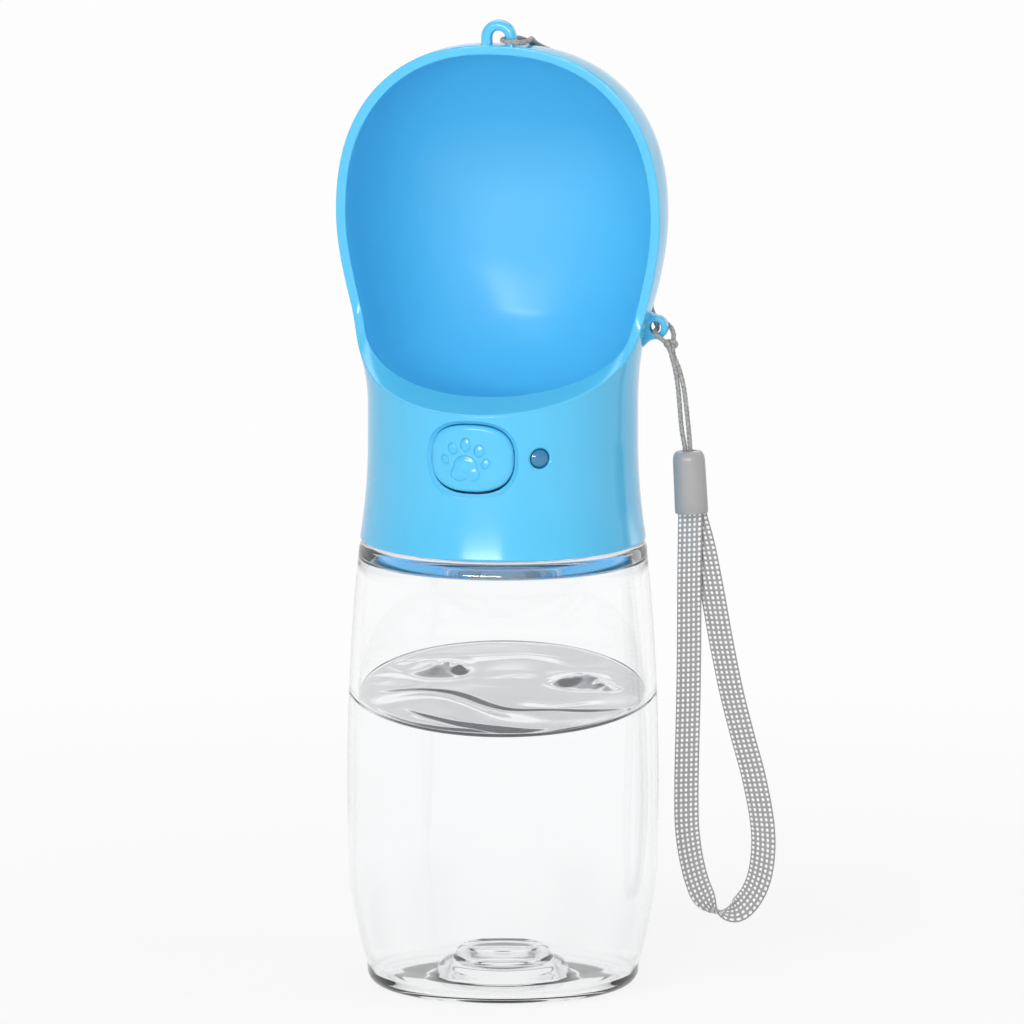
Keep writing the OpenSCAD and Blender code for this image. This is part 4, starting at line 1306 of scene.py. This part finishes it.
def waveStep(u, v, line, drop, rise, before, ends, strong, bright):
    # the surface falls sharply towards the viewer, then climbs again and levels out
    mark, run = np.array(line, float).T
    fine = np.linspace(mark[0], mark[-1], 200)
    path = np.interp(fine, mark, run)
    for _ in range(3):
        path = np.convolve(np.pad(path, 6, mode="edge"), np.ones(13) / 13, mode="valid")
    cross = v - np.interp(u, fine, path)
    share = smoothStep((u - ends[0]) / 9) * smoothStep((ends[1] - u) / 9)
    peak = 0.55 + 0.9 * np.exp(-((u - strong) / 7.5) ** 2)
    width = 0.16 + 0.12 * np.exp(-((u - strong) / 7.5) ** 2)
    lift = rise * (0.3 + 0.75 * np.exp(-((u - bright) / 12) ** 2))
    fallen = 1 / (1 + np.exp(np.clip(cross / width, -40, 40)))
    climb = smoothStep((-cross - 0.5) / before)
    settle = smoothStep((-cross - 0.5 - before) / (before * 1.6))
    return share * (-drop * peak * fallen * (1 - climb) + lift * climb * (1 - settle))


def waveHeight(u, v):
    # u runs to the picture's right, v away from the viewer
    tall = 0 * u
    for alongU, alongV, high, start in waves["swell"]:
        tall = tall + high * np.sin(alongU * u + alongV * v + start)
    for step in waves["steps"]:
        tall = tall + waveStep(u, v, *step)
    for cu, cv, high, size, long, turned in waves["splashes"]:
        du, dv = (u - cu) / long, v - cv
        away = np.hypot(du, dv) / size
        turn = np.arctan2(dv, du)
        folds = 1 + 0.3 * np.sin(3 * turn + turned + 2 * away) * np.minimum(away, 1)
        tall = tall + high * folds * np.exp(-away ** 2 * 1.6)
        tall = tall - 0.22 * high * np.exp(-((away - 1.25) / 0.3) ** 2)
    return tall


def makeWater():
    c = water
    az = math.radians(camera["azimuth"])
    wall = insideProfile(-c["clear"])
    lowWall = wall[wall[:, 1] < c["sideZ"]]
    sides = 320
    turn = circle(sides)
    lean = math.tan(math.radians(c["tilt"]))
    edgeR = sideAt(c["level"]) - bottle["wall"] + c["clear"]

    def surface(x, y):
        u = x * math.cos(az) + y * math.sin(az)
        v = -x * math.sin(az) + y * math.cos(az)
        r = np.hypot(x, y)
        inward = edgeR - r
        front = np.clip(0.15 - 1.3 * v / edgeR, -0.3, 1)
        rise, groove = (h * np.exp(-((inward - d) / w) ** 2) for h, d, w in (c["rise"], c["groove"]))
        return c["level"] + lean * v + waveHeight(u, v) * smoothStep(inward / 3) + front * (rise - groove)

    net = Net()
    rows = [net.ring(r, z, turn) for r, z in lowWall[1:]]
    centre = net.put([(0, 0, lowWall[0][1])])[0]
    edgeX, edgeY = edgeR * np.cos(turn), edgeR * np.sin(turn)
    edgeZ = surface(edgeX, edgeY)
    for share in np.linspace(0, 1, 12)[1:]:
        z = c["sideZ"] + (edgeZ - c["sideZ"]) * share
        r = sideAt(z) - bottle["wall"] + c["clear"]
        rows.append(net.put(np.stack([r * np.cos(turn), r * np.sin(turn), z], -1)))
    shares = np.concatenate([np.linspace(1, 0.91, 22)[1:], np.linspace(0.91, 0.012, 170)[1:]])
    for share in shares:
        x, y = edgeX * share, edgeY * share
        rows.append(net.put(np.stack([x, y, surface(x, y)], -1)))
    net.faces = bandFaces(rows)
    topFrom = sides * (len(rows) - 1 - len(shares))
    net.faces.append(rows[-1])
    net.faces += [[centre, rows[0][(i + 1) % sides], rows[0][i]] for i in range(sides)]
    topTo = sides * (len(rows) - 1) + 1
    sidesAndFloor = np.r_[0:topFrom, topTo:len(net.faces)]
    secondFinish(net.piece("water", "water", "bottle"), "water_body", sidesAndFloor)


makeBottle()
makeWater()
print("bottle and water made")


# the inner pieces keep their solids
kept = {
    "push_rod": "white_plastic", "valve_carrier": "white_plastic", "valve_stem": "white_plastic",
    "valve_plug": "white_plastic", "button_spring": "spring_steel", "valve_spring": "spring_steel",
    "carrier_screws": "spring_steel", "plug_screw": "spring_steel", "rod_ring": "silicone",
    "plug_seal": "silicone", "outlet_gasket": "silicone", "neck_gasket": "silicone",
}
for name, slot in kept.items():
    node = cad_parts[name]
    if not node.material_slots:
        node.data.materials.append(finishes[slot].material)
    for place in node.material_slots:
        place.material = finishes[slot].material
print("inner pieces finished")


studio = {
    "floor": 14.0,  # metres
    "under": 0.0003,  # metres from the bottle down to the floor
    "white": 0.985,
    "shadow": (0.10, 0.42, 0.87),  # metres: where the floor's shadow fades out, and its least white
    "world": 0.45,
    "gloss": 0.7,
    # clear plastic sees grey cards at both sides of the table, which give it its edges
    "cards": [(0.50, (0.93, 0.93, 0.935)), (0.78, (0.60, 0.60, 0.61)), (0.95, (0.68, 0.68, 0.69)),
        (1.0, (0.9, 0.9, 0.9))],
    # gloss meets brighter walls: one high up behind, which the scoop can't mirror, and one at the back
    "walls": [  # direction seen from the camera, where it starts, where it is full, brightness
        ((0, 0.42, 0.91), 0.80, 0.90, 4.5),
        ((0, 1, 0), 0.1, 0.6, 1.1),
    ],
    "lights": [  # name, azimuth, elevation, distance, width, height, watts, mirrored in gloss
        ("key", -18, 44, 1.5, 0.5, 0.5, 5.5, False),
        ("spot", -3, 9.5, 1.5, 0.8, 0.05, 8.4, True),
        ("rightSide", 85, 42, 1.5, 0.10, 0.36, 1.6, True),
        ("front", 30, 22, 1.6, 1.2, 0.9, 2.5, False),
        ("fill", 70, 25, 1.6, 0.9, 0.7, 2.0, False),
        ("rightEdge", 148, 12, 1.5, 0.5, 0.9, 2.4, True),
    ],
}


def makeFloor():
    size = studio["floor"] / 2
    mesh = bpy.data.meshes.new("floor")
    mesh.from_pydata([(-size, -size, 0), (size, -size, 0), (size, size, 0), (-size, size, 0)], [],
        [[0, 1, 2, 3]])
    floor = addToScene("floor", mesh)
    floor.location.z = -studio["under"]
    f = Finish("floor_paper", {"Roughness": 0.9})
    f.mottled((0.93, 0.93, 0.93), (0.95, 0.95, 0.95), 8)
    f.bumpy(f.noise(300, 2), 0.05, 0.0002)
    # all but the light's own rays see plain white, a little less of it close to the bottle
    glow = f.add("Emission", Strength=studio["white"])
    glow.inputs["Color"].default_value = (1, 1, 1, 1)
    rays = f.add("LightPath").outputs
    start, end, least = studio["shadow"]
    away = f.vector("LENGTH", f.add("TexCoord").outputs["Object"])
    seen = f.maths("MAXIMUM", rays["Is Camera Ray"], rays["Is Transmission Ray"])
    seen = f.maths("MAXIMUM", seen, rays["Is Glossy Ray"])
    share = f.maths("MULTIPLY", f.spread(away, least, 1, start, end), seen)
    surface = f.mix(share, f.shader.outputs[0], glow.outputs[0])
    f.link(surface, f.tree.nodes["Material Output"].inputs["Surface"])
    mesh.materials.append(f.material)


def makeWorld():
    world = bpy.data.worlds.new("studio")
    bpy.context.scene.world = world
    world.use_nodes = True
    f = Nodes(world.node_tree)
    f.tree.nodes.clear()
    turned = f.add("VectorRotate", rotation_type="Z_AXIS", Angle=-math.radians(camera["azimuth"]))
    f.link(f.add("TexCoord").outputs["Generated"], turned.inputs["Vector"])
    way = turned.outputs["Vector"]
    soft = f.add("Background", Strength=studio["world"])
    bright = f.add("Background")
    walls = [f.spread(f.vector("DOT_PRODUCT", way, facing), studio["gloss"] / 2, most, start, end)
        for facing, start, end, most in studio["walls"]]
    f.link(f.maths("ADD", *walls), bright.inputs["Strength"])
    around = f.add("Background")
    f.link(f.ramp(f.maths("ABSOLUTE", f.split(way)["X"]), studio["cards"]), around.inputs["Color"])
    plainWhite = f.add("Background")
    plainWhite.inputs["Color"].default_value = (*[studio["white"]] * 3, 1)
    rays = f.add("LightPath").outputs
    light = f.mix(rays["Is Glossy Ray"], soft.outputs[0], bright.outputs[0])
    light = f.mix(rays["Is Transmission Ray"], light, around.outputs[0])
    light = f.mix(rays["Is Camera Ray"], light, plainWhite.outputs[0])
    f.link(light, f.add("OutputWorld").inputs["Surface"])


def makeLights():
    aim = Vector((0, 0, 0.11))
    for name, azimuth, elevation, distance, width, height, watts, mirrored in studio["lights"]:
        way = wayTo(azimuth, elevation)
        data = bpy.data.lights.new(name, "AREA")
        data.shape = "RECTANGLE"
        data.size, data.size_y = width, height
        data.energy = watts
        lamp = addToScene(name, data)
        lamp.location = aim + way * distance
        lamp.visible_transmission = False
        lamp.visible_glossy = mirrored
        lamp.rotation_euler = way.to_track_quat("Z", "Y").to_euler()


makeFloor()
makeWorld()
makeLights()
print("studio lit")
